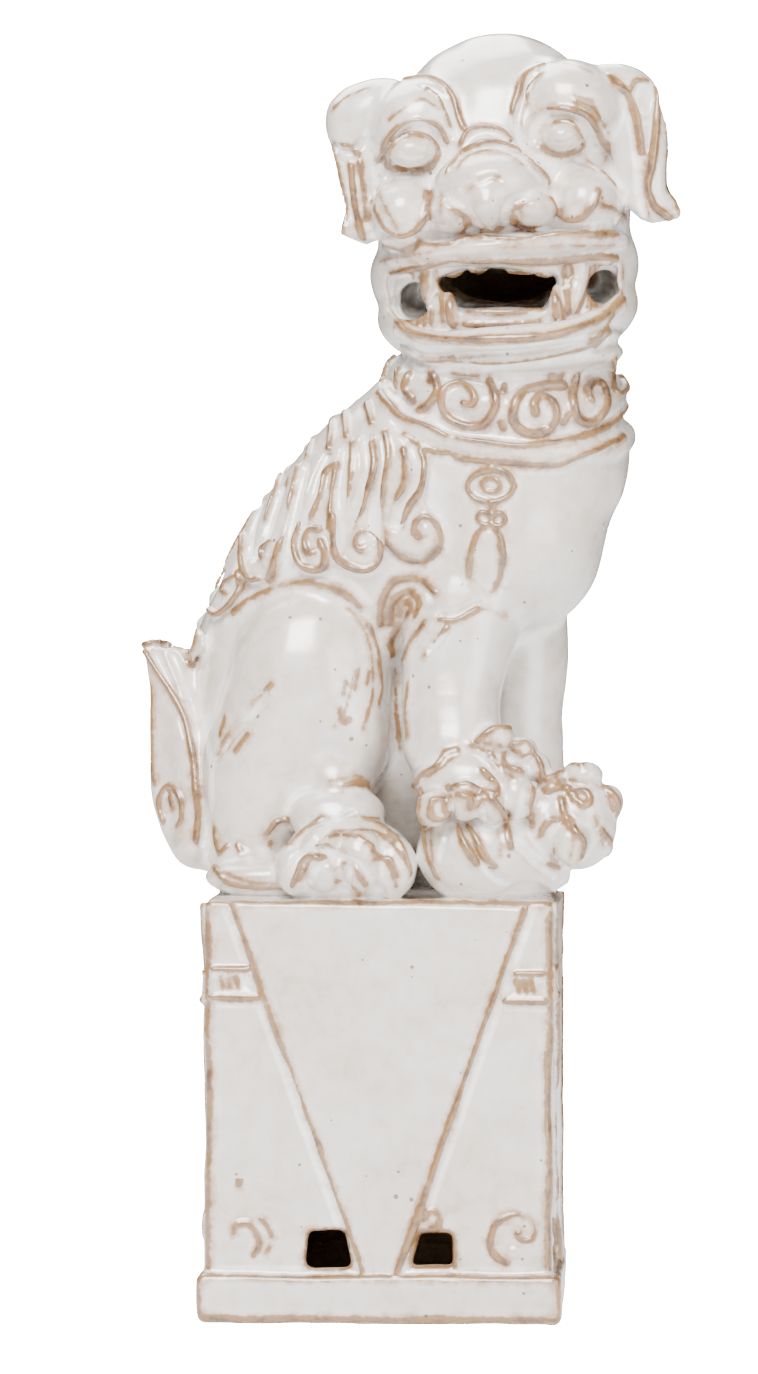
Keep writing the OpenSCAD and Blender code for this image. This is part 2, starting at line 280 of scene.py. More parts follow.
    def sample(self, points, field=None):
        """A field's values at points in mm, between the lattice's own."""
        field = self.d if field is None else field
        q = np.clip(np.array(points) / CELL - self.start, 0, self.count - 1.001)
        whole = q.astype(int)
        return between(field, whole, q - whole)

    def slope(self, points):
        """The way straight out of the clay, at points on it."""
        steps = np.eye(3) * CELL * 0.8
        g = np.stack([self.sample(points + s) - self.sample(points - s) for s in steps], 1)
        return g / np.maximum(np.linalg.norm(g, axis=1, keepdims=True), 1e-9)

    def onto(self, board, drawing):
        """Points of a drawing, carried from its board onto the clay."""
        before, steps, touching = 55, 70, 0.03
        p, way = board.rays(drawing)
        p = p - way * before
        best, least = p.copy(), np.full(len(p), 1e9)
        done = np.zeros(len(p), bool)
        for _ in range(steps):
            d = self.sample(p)
            nearer = (d < least) & ~done
            best[nearer], least[nearer] = p[nearer], d[nearer]
            done |= d < touching
            p = p + way * np.where(done, 0, np.clip(d, 0.1, 5) * 0.85)[:, None]
        return self.snap(best)

    def snap(self, points):
        """The nearest points on the clay."""
        p = np.array(points, float)
        for _ in range(10):
            p = p - self.slope(p) * self.sample(p)[:, None] * 0.75
        return p

    def mark(self, field, path, width):
        """Notes a line where the glaze breaks, or pools."""
        where, shape = self.rod(path, width, 3)
        field[where] = np.minimum(field[where], shape)

    def stain(self, skin, board, *lines, away=0.1):
        """Leaves the glaze thin, and broken here and there, along lines on the clay."""
        for points in lines:
            path = skin.onto(board, smooth_path(points, 1.5))
            self.mark(self.crest, path, [-away])

    def ridge(self, path, radii=(0.8,), on=None, rise=0.5, soft=0.8, show=1.0):
        """A thin coil pressed along points on the clay, with the glaze broken on its top."""
        path, radii = np.array(path), spread(radii, len(path))
        up = (on or self).slope(path)
        lifted = path + up * (radii * rise)[:, None]
        self.add(*self.rod(lifted, radii, 2.5), soft)
        if show:
            self.mark(self.crest, lifted + up * (radii * 0.85)[:, None], radii * 0.75 * show)

    def crease(self, path, radii=(0.8,), on=None, sink=-0.15, soft=0.8):
        """A groove pressed along points on the clay, where glaze pools."""
        path, radii = np.array(path), spread(radii, len(path))
        raised = path + (on or self).slope(path) * (radii * sink)[:, None]
        self.take(*self.rod(raised, radii, 2.5), soft)
        self.mark(self.pool, path, radii * 0.8)

    def ridges(self, skin, board, lines, **how):
        """Ridges along lines drawn on a board, each with its radii."""
        for radii, points in lines:
            self.ridge(skin.onto(board, smooth_path(points)), radii, skin, **how)

    def creases(self, skin, board, lines, **how):
        """Creases along lines drawn on a board, each with its radii."""
        for radii, points in lines:
            self.crease(skin.onto(board, smooth_path(points)), radii, skin, **how)

    def blanket(self, board, outline, over, thick, low, high, soft=1.5, join=0.8):
        """A layer of clay of even thickness over another piece, inside an outline."""
        where, inside = self.plate(board, outline, low, high, 1.5)
        layer = shared(over, self)[where] - thick
        self.add(where, -soft_min(-layer, -inside, soft), join)

    def dig(self, board, outline, over, deep, low, high, soft=1.2):
        """Takes away an even depth of clay inside an outline."""
        where, inside = self.plate(board, outline, low, high, 1.0)
        layer = -(shared(over, self)[where] + deep)
        self.take(where, -soft_min(-layer, -inside, 0.8), soft)

    def plate(self, board, outline, low, high, rounding=0.8):
        """Distances to a panel cut to an outline, between two depths out of its board."""
        outline = np.array(outline, float)
        corners = np.vstack([np.column_stack([outline, np.full(len(outline), o)])
                             for o in (low, high)])
        solid = board.all(corners)
        pad = REACH + (8 if board.eye is not None else 0)
        where, (x, y, z) = self.window(solid.min(0) - pad, solid.max(0) + pad)
        a, u, o = board.flatten(x, y, z)
        flat = outline_distance(outline, a, u) + rounding
        deep = np.abs(o - (low + high) / 2) - (high - low) / 2 + rounding
        return where, (np.sqrt(np.maximum(flat, 0) ** 2 + np.maximum(deep, 0) ** 2)
                       + np.minimum(np.maximum(flat, deep), 0) - rounding).astype(np.float32)


def outline_distance(outline, a, u, step=0.4):
    """Signed distances to a closed outline on a board, read from a fine grid of it."""
    low, high = outline.min(0) - 14, outline.max(0) + 14
    ga, gu = [np.arange(i, j + step, step) for i, j in zip(low, high)]
    grid = np.stack(np.meshgrid(ga, gu, indexing="ij"), -1)
    least, inside = np.full(grid.shape[:2], 1e9), np.zeros(grid.shape[:2], bool)
    for p, q in zip(outline, np.roll(outline, -1, 0)):
        e, w = q - p, grid - p
        t = np.clip((w @ e) / (e @ e), 0, 1)
        least = np.minimum(least, ((w - t[..., None] * e) ** 2).sum(-1))
        if p[1] != q[1]:
            crosses = (p[1] <= grid[..., 1]) != (q[1] <= grid[..., 1])
            left = grid[..., 0] < p[0] + (grid[..., 1] - p[1]) * e[0] / e[1]
            inside ^= crosses & left
    signed = np.sqrt(least) * np.where(inside, -1, 1)
    i = np.clip((a - low[0]) / step, 0, len(ga) - 1.001)
    j = np.clip((u - low[1]) / step, 0, len(gu) - 1.001)
    i, j = np.broadcast_arrays(i, j)
    i0, j0 = i.astype(int), j.astype(int)
    fi, fj = i - i0, j - j0
    return ((signed[i0, j0] * (1 - fi) + signed[i0 + 1, j0] * fi) * (1 - fj)
            + (signed[i0, j0 + 1] * (1 - fi) + signed[i0 + 1, j0 + 1] * fi) * fj)


def together(*parts, soft=1.0):
    """The clay of several pieces as one, to draw on."""
    start = np.min([p.start for p in parts], 0)
    end = np.max([p.start + p.count for p in parts], 0)
    both = Clay(None, low=start * CELL, high=end * CELL, spare=-REACH)
    for p in parts:
        where = tuple(slice(s - o, s - o + n)
                      for s, o, n in zip(p.start, both.start, p.count))
        both.d[where] = soft_min(both.d[where], p.d, soft)
    return both


def shared(over, piece):
    """The distances of one piece, on the lattice of another."""
    out = np.full(piece.count, FAR, np.float32)
    low = np.maximum(over.start, piece.start)
    high = np.minimum(over.start + over.count, piece.start + piece.count)
    if (high > low).all():
        here = tuple(slice(a - s, b - s) for a, b, s in zip(low, high, piece.start))
        there = tuple(slice(a - s, b - s) for a, b, s in zip(low, high, over.start))
        out[here] = over.d[there]
    return out


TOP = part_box("deck")[1].z * 1000
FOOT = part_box("front_wall")[0].z * 1000
HALF_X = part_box("deck")[1].x * 1000
HALF_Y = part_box("deck")[1].y * 1000
WALL = 6.0     # the thickness of the slabs
RING = 10.0    # the width of the foot ring
BLIND = 2.8    # the clay left behind the back wall's vents, which aren't cut through
BUTT = 1.5     # how far the two side walls stop short of the corners
VENTS = (((-21.6, 17), (-8.4, 17), (-10.4, 27.6), (-21, 27.6)),
         ((9.4, 17), (22.6, 17), (22.4, 27.6), (12, 27.6)))
FACES = ((0, HALF_X, HALF_Y), (90, HALF_Y, HALF_X), (180, HALF_X, HALF_Y), (270, HALF_Y, HALF_X))


def worn(outline, r=2.0):
    """An outline with its corners rounded."""
    out, p = [], np.array(outline, float)
    for a, b, c in zip(np.roll(p, 1, 0), p, np.roll(p, -1, 0)):
        u, v = (a - b) / np.linalg.norm(a - b) * r, (c - b) / np.linalg.norm(c - b) * r
        out += [b + u * (1 - t) ** 2 + v * t**2 for t in (0, 0.25, 0.5, 0.75, 1)]
    return out


def face_board(yaw, depth):
    """A board on one face of the pedestal."""
    turned = math.radians(yaw)
    return Board((math.sin(turned) * depth, -math.cos(turned) * depth, 0), yaw)


plinth = Clay("plinth", 1.2)
plinth_low, plinth_high = [np.array(c) * 1000 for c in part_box("plinth")]
plinth.add(*plinth.block(plinth_low, plinth_high, 2.4), 0.5)
plinth.take(*plinth.block(plinth_low + (RING, RING, -9), plinth_high + (-RING, -RING, 9), 3), 0.5)

walls = {}
for name, (yaw, half, depth) in zip(("front_wall", "right_wall", "back_wall", "left_wall"), FACES):
    wall = walls[name] = Clay(name, 1.5)
    board = face_board(yaw, depth)
    end = half if depth < half else half - BUTT
    a, b = board.at(-end, FOOT - 2, -WALL), board.at(end, TOP - 3, 0)
    wall.add(*wall.block(np.minimum(a, b), np.maximum(a, b), 2.6), 0.5)
    for vent in VENTS:
        outline = worn([(x * half / HALF_X, z) for x, z in vent])
        through = BLIND - WALL if name == "back_wall" else -WALL - 3
        wall.take(*wall.plate(board, outline, through, 3, 1.4), 1.6)
    for side in (-1, 1):
        wall.mark(wall.crest, smooth_path([board.at(side * (half - 1.2), z, -1.2)
                                           for z in (FOOT + 2, 60, TOP - 4)]), [0.75])
    for vent in VENTS:
        rim = [board.at(x, z, 0) for x, z in worn([(x * half / HALF_X, z) for x, z in vent])]
        wall.mark(wall.crest, smooth_path(rim + rim[:1]), [0.45])

deck = Clay("deck", 1.5)
deck.add(*deck.block((-HALF_X, -HALF_Y, TOP - WALL), (HALF_X, HALF_Y, TOP), 2.2), 0.5)

for piece, z, rx, ry in ((deck, TOP - 0.6, HALF_X - 0.6, HALF_Y - 0.6),
                         (plinth, FOOT - 0.8, plinth_high[0] - 0.8, plinth_high[1] - 0.8),
                         (plinth, 1.6, plinth_high[0] - 0.2, plinth_high[1] - 0.2)):
    rim = [(-rx, -ry, z), (rx, -ry, z), (rx, ry, z), (-rx, ry, z), (-rx, -ry, z)]
    for p, q in zip(rim[:-1], rim[1:]):
        piece.mark(piece.crest, smooth_path([p, q]), [0.5])
for sx in (-1, 1):
    for sy in (-1, 1):
        x, y = sx * (plinth_high[0] - 0.8), sy * (plinth_high[1] - 0.8)
        plinth.mark(plinth.crest, smooth_path([(x, y, 2), (x, y, FOOT - 1)]), [0.4])
for yaw, half, depth in FACES:
    board = face_board(yaw, depth)
    plinth.mark(plinth.pool, smooth_path([board.at(-half, FOOT + 0.6, 0),
                                          board.at(half, FOOT + 0.6, 0)]), [1.3])


# ---- Aprons, waist bands and foot scrolls ----
# Sprigged on each wall: a long triangle of cloth hanging from the deck, a band at the waist
# on either side of it, and a scroll in each lower corner.

apron = Clay("drape_apron", 0.8)
bands = Clay("waist_bands", 0.8)
scrolls = Clay("foot_scrolls", 0.8)
for yaw, half, depth in FACES:
    board = face_board(yaw, depth)
    s = half / HALF_X
    left = [(-44.5 * s, TOP - 0.5), (-5 * s, 16)]
    right = [(44 * s, TOP - 2), (11.5 * s, 32), (5.5 * s, 15.5)]
    outline = left + right[::-1]
    apron.add(*apron.plate(board, outline, -2.5, 1.3, 0.9), 0.6)
    for radius, line in ((0.75, left), (1.05, right)):
        path = [board.at(x, z, 1.25) for x, z in line]
        for p, q in zip(path[:-1], path[1:]):
            p = smooth_path([p, q])
            apron.add(*apron.rod(p, [radius], 3), 0.7)
            apron.mark(apron.crest, p + board.axes[:, 2] * radius * 0.7, [radius * 0.55])
            apron.mark(apron.pool, p + board.axes @ np.array(
                [math.copysign(radius + 1.3, line[0][0]), 0, -1]), [0.9])
    for side, top, low, inner in ((-1, 107, 97.5, (-38.5, -35)), (1, 106, 96.5, (40.3, 36.8))):
        edge = side * (half - 2.0)
        a, b = inner[0] * s, inner[1] * s
        bands.add(*bands.plate(board, [(edge, top), (a, top), (b, low), (edge, low)],
                               -2, 1.0, 0.8), 0.4)
        bands.take(*bands.plate(board, [(edge - side * 2, top - 2.4), (a + side * 2, top - 2.4),
                                        (b + side * 2, low + 2.6), (edge - side * 2, low + 2.6)],
                                0.3, 3, 0.8), 0.6)
        for radius, p, q in ((0.6, (edge, top - 0.6), (a + side * 0.6, top - 0.6)),
                             (0.95, (edge, low + 0.4), (b + side, low + 0.4))):
            path = smooth_path([board.at(*p, 0.9), board.at(*q, 0.9)])
            bands.add(*bands.rod(path, [radius], 3), 0.5)
            bands.mark(bands.crest, path + board.axes[:, 2] * radius * 0.8, [radius * 0.6])
            bands.mark(bands.pool, path + board.axes[:, 2] * 0.2 - np.array([0, 0, radius + 1]), [0.7])
        for k in range(3):
            x = edge - side * (3.5 + 2.2 * k)
            path = smooth_path([board.at(x, low + 3, 0.4), board.at(x - 0.8, top - 3.2, 0.4)])
            bands.add(*bands.rod(path, [0.5], 2), 0.5)
            bands.mark(bands.crest, path + board.axes[:, 2] * 0.4, [0.2])
    for radius, points in (
            (0.95, [(-43.5, 27.5), (-42.6, 29.4), (-41, 30), (-38.8, 29.8), (-37.2, 28),
                    (-35.8, 25), (-36, 22.5), (-37.5, 20.6)]),
            (0.6, [(-35, 31), (-33.2, 29), (-32, 26)]), (0.6, [(-32.6, 23), (-34, 21)]),
            (0.5, [(-42, 42), (-41, 47), (-38, 49), (-34, 45)]),
            (0.95, [(38.5, 18.5), (34.6, 21), (33.4, 25), (35.5, 30.5), (41, 33), (45.6, 31.2),
                    (47.2, 28.2), (45.6, 25.6), (42.2, 25.6), (41.4, 27.2), (42.6, 28)]),
            (0.7, [(13.5, 32), (15.5, 34), (18, 33), (18, 30), (16, 28.7)]),
            (0.6, [(47, 118.5), (48.4, 121), (49.6, 118.6), (49.3, 124), (47.2, 122.5)]),
            (0.5, [(44.6, 115), (46, 119)])):
        path = smooth_path([board.at(x * s, z, 0.15) for x, z in points], 0.6)
        scrolls.add(*scrolls.rod(path, [radius], 3), 0.4)
        scrolls.mark(scrolls.crest, path + board.axes[:, 2] * radius * 0.9, [radius * 0.62])
    for at, size in (((-41.5, 24.8), 3.2), ((40.6, 21.5), 2.4)):
        scrolls.lump((at[0] * s, at[1], -0.6), (size, size, 1.5), board, soft=0.5)


# ---- Body: torso, haunches and legs ----
# Thrown and pinched hollow forms luted into one seated body, turned a little to the
# front. The far side is the near side's twin, apart from the forelegs.

ACROSS = np.array([0.342, 0.940, 0])    # from the body's right side to its left
SPINE = np.array([1.0, 3.0, TOP])       # a point between its two sides
eye = (89.1, -1897.8, 226)              # what is drawn is seen from where the camera stands
front = Board(depth=33, eye=eye)


def twin(original, node):
    """The same piece on the body's other side."""
    piece = Clay(node, original.join)
    x, y, z = [(np.arange(n) + s) * CELL for n, s in zip(piece.count, piece.start)]
    x, y, z = np.meshgrid(x, y, z, indexing="ij")
    off = 2 * ((x - SPINE[0]) * ACROSS[0] + (y - SPINE[1]) * ACROSS[1])
    points = np.stack([x - off * ACROSS[0], y - off * ACROSS[1], z], -1).reshape(-1, 3)
    points = points / CELL - original.start
    inside = ((points > 0) & (points < original.count - 1)).all(1)
    whole = np.floor(points[inside]).astype(np.int32)
    part = (points[inside] - whole).astype(np.float32)
    for name in ("d", "crest", "pool"):
        values = between(getattr(original, name), whole, part)
        getattr(piece, name).reshape(-1)[inside] = values
    return piece


torso = Clay("torso", 3)
torso.coil([(-30, 13, 172), (-30, 13, 190), (-23, 11, 206), (-2, 5, 234), (20, -1, 255),
            (36, -5, 272)], (31, 32, 33.5, 35, 34.5, 33.5, 33))
torso.lump((41, 261, 4), (33.5, 35, 34))
torso.lump((37, 284, 2), (33, 26, 33), soft=4)
torso.lump((36.5, 236, 6), (30.5, 31, 32), soft=6)
torso.lump((-32, 165, -13), (31, 38, 36), soft=5)
torso.lump((2, 175, -12), (32, 36, 23), soft=6)

right_haunch = Clay("right_haunch", 2.5)
right_haunch.lump((-23, 190, 14), (25, 32, 23), turn=-8)
right_haunch.lump((-32, 172, 12), (22, 30, 22), turn=-25, soft=6)
right_haunch.lump((-38, 151, 12), (14, 20, 18), turn=-10, soft=8)
right_haunch.lump((-42, 138, 15), (11, 11, 14), soft=5)
right_haunch.lump((-34, 133, 27), (19, 6, 12), soft=5)
right_haunch.lump((-10, 178, 14), (11, 18, 20), turn=18, soft=6)
right_haunch.lump((-14, 160, 18), (10, 12, 16), turn=20, soft=6)

right_hind_paw = Clay("right_hind_paw", 1.5)
right_hind_paw.lump((-10, 138, 34), (20, 14, 15), soft=3)
for at, size in (((-25, 136, 40), (6.5, 8, 9)), ((-16, 139, 45), (7.5, 10, 9)),
                 ((-6, 139, 46), (7.5, 10, 9)), ((4, 137, 41), (7, 9.5, 9))):
    right_hind_paw.lump(at, size, soft=1.4)
right_hind_paw.lump((-14, 152, 26), (15, 9, 12), soft=3)

right_foreleg = Clay("right_foreleg", 3)
right_foreleg.coil([(27, -14, 226), (23, -22, 204), (21, -27, 188), (22, -31, 172)],
                   (18, 18.5, 17, 15.2, 14.2, 14.4), soft=4)

right_fore_paw = Clay("right_fore_paw", 1.5)
right_fore_paw.lump((27, 163, 38), (17, 10, 14))
for at, size in (((17, 155, 50), (5, 6, 6)), ((26, 157, 53), (5.2, 6, 6)),
                 ((34, 156, 52), (5, 6, 6)), ((41, 158, 46), (6, 7, 7))):
    right_fore_paw.lump(at, size, soft=1.5)
for at, size in (((35, 175, 42), (5.5, 4, 6)), ((43, 172, 40), (4.5, 4, 6)),
                 ((47, 167, 40), (4.5, 4.5, 5)), ((41, 165, 46), (4, 3.5, 5))):
    right_fore_paw.lump(at, size, soft=1.2)

cub_body = Clay("cub_body", 1.5)
cub_body.lump((31, 141, 35), (20, 15.5, 19))
cub_body.lump((44, 139, 26), (16, 12, 18), soft=4)

cub_head = Clay("cub_head", 1.5)
cub_head.lump((59, 150, 33), (12, 14.5, 14))
cub_head.lump((50, 150, 38), (8.5, 11, 10), soft=3)
cub_head.lump((57.5, 144, 47), (5.5, 6.5, 6), soft=1.5)
cub_head.lump((61, 164.5, 36), (5.5, 3.6, 6), soft=1.5)
cub_head.lump((69, 156, 34), (4, 5, 6), soft=1.5)
cub_head.lump((51.5, 162, 40), (4, 4, 5), soft=1.5)

left_foreleg = Clay("left_foreleg", 3)
left_foreleg.coil([(38, 6, 222), (40, 5, 200), (40, 3, 180), (41, 2, 150), (42, 0, 138)],
                  (17, 15.5, 14, 13.2, 13), soft=4)
left_fore_paw = Clay("left_fore_paw", 1.5)
left_fore_paw.lump((39, 135, 2), (14, 10.5, 15))
for x, out in ((45, -6), (47, 2), (45, 10)):
    left_fore_paw.lump((x, 133, out), (6, 7.5, 5.5), soft=1.5)


# ---- Tail ----
# A plume of slab stood on edge behind the rump, folded over at the top and curled at the
# foot of its front edge.

tail = Clay("tail", 2, spare=24)
tail.flap([(-72, 4, 202), (-66, 2, 188), (-60.5, -4, 172), (-58.5, -8, 157), (-58, -10, 142)],
          [(-70, 26, 200), (-68, 24, 186), (-67, 22, 172), (-64, 22, 158), (-58, 22, 142)],
          (2.6, 3.6, 4.6, 5.6, 6.5), 2)
tail.flap([(-72.5, 2, 201), (-70, -1, 186), (-69.5, -2, 170), (-67.5, -4, 155), (-61, -8, 141),
           (-54, -10, 138)],
          [(-66, 0, 200), (-61, -4, 184), (-58, -8, 168), (-56, -11, 154), (-53, -12, 143),
           (-50, -12, 138)], (1.8, 2.4, 3, 3.6, 4, 4), 2)
tail.coil([(-63, 4, 196), (-58, 4, 180), (-56, 2, 164), (-54, 0, 150)], (6, 8, 9, 9), 4)


# ---- Mane ----
# A layer of clay laid over the flank, cut along its lower edge to the ends of the locks
# that are drawn on it further on.

right_mane = Clay("right_mane", 1.5)
MANE = [(0, 285), (-13, 276), (-20, 268), (-28, 260), (-33, 254), (-40, 245), (-46, 236),
        (-52, 226), (-57, 217), (-61, 207), (-62, 198), (-58, 196), (-53, 202), (-53, 211),
        (-50, 211), (-43, 217), (-42, 222), (-36, 222.5), (-30, 228), (-26, 227), (-22, 225),
        (-14, 227), (-8, 225), (-2, 226), (2, 233), (6, 231), (12, 229.5), (18, 234), (18, 241),
        (14, 246), (15, 256), (11, 262), (4, 268)]
where, inside = right_mane.plate(front, MANE, 2, 60, 2.0)
layer = shared(torso, right_mane) - 2.6
right_mane.add(where, -soft_min(-layer[where], -inside, 2.5), 0.5)


# ---- Head ----
# A hollow pinched form, turned to face forward, with the brows, cheeks, snout and lips
# added as lumps, the mouth cut through to the hollow, and the jaw luted under it.

HEAD = ((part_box("head_shell")[0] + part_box("head_shell")[1]) / 2 * 1000) + Vector((0, 1.5, -9.5))
face = Board(HEAD, -2, 4.5, depth=34, eye=eye)
head = Clay("head_shell", 2)
head.lump((0.8, 14, -4), (34.5, 37.3, 34), face)
head.lump((-0.6, -2, -5), (39.5, 34, 36), face, soft=5)
head.lump((-1.4, -21, -3), (41, 25, 34), face, soft=3)
head.lump((-22.5, 24.5, 13), (16, 13.8, 18.5), face, turn=20, soft=4)
head.lump((23.5, 26, 13), (15.5, 13.8, 18.5), face, turn=-20, soft=4)
head.lump((-28, -3, 18), (11, 12, 18), face, soft=4)
head.lump((26, -4, 18), (11, 11.5, 18), face, soft=4)
head.lump((-1.5, 11, 22), (11, 11, 14), face, soft=3)
head.lump((1, -15.5, 12), (37, 6.5, 25), face, soft=2)
jaw = Clay("lower_jaw", 2)
jaw.lump((-1.2, -33.5, -1), (40, 19.5, 34.5), face)
jaw.lump((0.5, -43.5, 8), (33, 5.5, 26), face, soft=2)
jaw.lump((0.5, -48.5, 3), (33, 7.5, 27), face, soft=3)
skull = together(head, jaw, soft=2)

MOUTH = [(-16.6, -25.6), (-12, -24.4), (-4, -24), (4, -24.8), (14.3, -27.3), (10.6, -33),
         (0, -31.6), (-11.9, -31)]
hollow = Clay(None, low=[HEAD[0] - 38, HEAD[1] - 50, HEAD[2] - 38],
              high=[HEAD[0] + 38, HEAD[1] + 30, HEAD[2] + 34])
hollow.lump((0, -2, -6), (26, 30, 25), face)
for path, radii in (([(-27.4, -28.5, 44), (-26.4, -28, 10), (-14, -18, -4)], (2.7, 2.5, 5)),
                    ([(29.2, -28.8, 44), (27.6, -28.4, 10), (14, -18, -4)], (3.0, 2.7, 5))):
    hollow.add(*hollow.rod(smooth_path(face.all(path)), radii, REACH), 1)
hollow.add(*hollow.plate(face, MOUTH, 0, 50, 1.5), 3)
for piece in (head, jaw, torso):
    cut = shared(hollow, piece)
    piece.d = -soft_min(-piece.d, cut, 1.2).astype(np.float32)

nose = Clay("nose", 1.6)
nose.lump((-1.4, 2.5, 28), (17.5, 12, 17.5), face)
nose.lump((-2, -3, 34), (7.5, 7, 13), face, soft=2)
nose.lump((-13.5, -3.8, 30), (6.8, 6.4, 13), face, soft=1.5)
nose.lump((10.8, -4.8, 30), (6.8, 6, 13), face, soft=1.5)

eyes = Clay("eyeballs", 0.5)
eyes.lump((-24, 15.5, 27), (7, 5, 7), face, soft=0.5)
eyes.lump((20.9, 15.8, 27), (6.5, 4.8, 7), face, soft=0.5)
for at, size, turn in (((-23.5, 15, 38), (11, 7.5, 8.5), 8), ((20.5, 15.5, 38), (10.5, 7.5, 8.5), -8)):
    head.scoop(at, size, face, turn, soft=3)
skull = together(head, jaw, soft=2)
CHOPS = [(-34, -22), (-20, -20.8), (0, -20.8), (14, -22.6), (28, -22.3), (35, -24), (35, -32),
         (30, -37), (20, -40), (0, -41), (-20, -40), (-29, -37.5), (-34, -31)]
for piece in (head, jaw):
    piece.dig(face, CHOPS, skull, 3.2, 0, 45)
jaw.coil(skull.onto(face, [(-31, -38), (-23.8, -42), (-10, -42.6), (6.8, -43), (18, -42.4),
                           (28, -39.5), (34, -36.5)]), [2.6, 3.4, 3.4, 3.4, 3.4, 3, 2.4], 2)
skull = together(head, jaw, nose, eyes, soft=1.0)

head.creases(skull, face, (
    ([1.1], [(-19.3, 34), (-15.5, 32), (-12.5, 27.9), (-10.7, 22.8), (-9.9, 18.3)]),
    ([1.1], [(15.9, 34.6), (12.3, 32.1), (10.3, 27.2), (8.6, 22.4), (8.5, 17.9), (9.9, 14.4)]),
    ([1.5], [(-32.5, 12), (-31.3, 15.4), (-28.7, 19.6), (-24.5, 22.2), (-19.5, 21.6),
             (-15.8, 18.6), (-14.6, 15)]),
    ([1.5], [(12.8, 15.2), (13.4, 19.3), (16.5, 21.8), (21, 22), (26, 20.8), (29.3, 17.2),
             (30.4, 11.5)]),
    ([0.9], [(-8, 14.4), (-6.4, 17.2), (-3.8, 18.7), (-0.4, 18.9), (3, 17.6), (5.8, 14.9)]),
    ([0.9], [(-14, 9), (-11, 9.4), (-7.6, 12), (-3.3, 13.9), (0, 14.2), (4, 13.1), (8, 10.8),
             (11, 7.2), (14.2, 3.4)]),
    ([1.2], [(-15, 10), (-17.5, 6.5), (-19.3, 1), (-20.3, -4), (-21.5, -8.5)]),
    ([1.1], [(15.4, 5), (17, 0), (17.4, -4)]),
    ([1.0], [(25, 8), (30, 6), (33, 3)]), ([1.0], [(-36, 6), (-31, 7.5), (-26, 7)]),
    ([1.4], [(-36, -9), (-28, -10.4), (-17, -10.8), (-8, -9.6), (0, -10.8), (6, -10.6),
             (15, -11), (24, -11.6), (36, -11)])))
head.ridges(skull, face, (
    ([0.8, 1.0], [(-24.2, 36.1), (-17.5, 36.1), (-12.7, 33.5), (-10.2, 29.4), (-9.4, 24.9),
                  (-8, 20.6)]),
    ([0.6], [(-18.2, 33.4), (-14.6, 30.3), (-12.7, 25.7), (-11.9, 21.7)]),
    ([0.8, 1.0], [(17.5, 37), (12, 34.9), (10.1, 32.3), (9, 29), (7.7, 26.3), (7, 23.6)]),
    ([0.6], [(16.7, 34.5), (12.8, 30.9), (10.8, 26.6), (9.4, 22.3), (9.3, 17.8)]),
    ([0.8], [(-33.9, 11), (-32.8, 14.8), (-30.5, 19), (-26.9, 22.4), (-22.3, 23.9),
             (-17.9, 23), (-14.8, 20.6), (-13.4, 16.8)]),
    ([0.75], [(-31, 11.9), (-29.9, 15.9), (-27.1, 18.9), (-23, 20.6), (-19.3, 19.3),
              (-16.8, 16.4), (-16, 14), (-19, 10.8), (-24, 9.6), (-28.5, 10.2), (-31, 11.9)]),
    ([0.7], [(11.4, 15.4), (11.4, 19.9), (13.9, 23.1), (17.9, 23.9)]),
    ([0.9, 1.2, 1.0], [(17.9, 23.9), (22.3, 23.8), (28.3, 21.4), (31.3, 17.2), (34.1, 9.7)]),
    ([0.6], [(25.8, 25.5), (30.1, 22.9), (32.4, 19.9)]),
    ([0.75], [(14.2, 15.2), (15.8, 18.4), (19.3, 20.3), (23.1, 19.8), (26.3, 17), (27, 11.9),
              (22, 10.3), (16.5, 11.2), (14.2, 15.2)]),
    ([0.9, 1.2, 0.9], [(-8.9, 15.9), (-7.1, 18.5), (-4.4, 20), (-0.5, 20.1), (3.3, 18.8),
                       (6.4, 15.8)]),
    ([0.9, 1.3, 0.9, 0.7], [(-20.6, 2), (-21.4, -3.4), (-23.8, -7.6), (-26.8, -9.6),
                            (-30.3, -9.9), (-33.5, -7.6)]),
    ([0.4], [(28, 7.6), (32.9, 4), (36, -0.4)]), ([0.4], [(31, -6), (35, -7.4), (38, -10)]),
    ([0.8], [(-34.5, -12.4), (-29.6, -13.9), (-24.5, -13.4), (-16.7, -13.8), (-7.7, -12.5),
             (6.1, -13.9), (14.5, -13.7), (29.5, -14.9), (35, -15)]),
    ([0.8], [(-33, -21.2), (-22.2, -19.7), (-17.1, -19), (-10.4, -19.3), (0.1, -19.6),
             (13.9, -21.2), (22.9, -21.1), (26.9, -20.3), (34, -22)]),
    ([0.7], [(16.4, -2.6), (17.8, -6.6), (20.8, -9.3), (24.9, -8.8), (28.6, -5.8),
             (30.7, -1.4)]),
    ([0.5], [(-36, -1), (-34.8, -5), (-33.6, -7.4)])))
nose.ridges(skull, face, (
    ([0.9, 1.1, 1.0], [(-14, 7.5), (-11.6, 10.6), (-8, 13.6), (-3.4, 15.5), (0, 15.8),
                       (4.2, 14.6), (8.6, 12.1), (12.2, 8.1), (15.8, 3.9), (16.2, 1.7)]),
    ([0.45], [(-10.5, 9.2), (-7, 12), (-3, 13.3), (1, 13.3), (5, 11.6), (9, 8.4)])))
nose.creases(skull, face, (
    ([1.2, 1.7, 1.3], [(-12.4, -1.2), (-9.3, -2.6), (-7.3, -6.2), (-5.4, -9), (-1.4, -10.4),
                       (1.6, -8.8), (2.9, -5.4), (4.8, -2.9), (8.6, -1.6)]),
    ([0.7], [(-9.4, 2), (-7.1, 4.1), (-4.2, 4.3), (-0.7, 5.5), (1.8, 4.4)])))
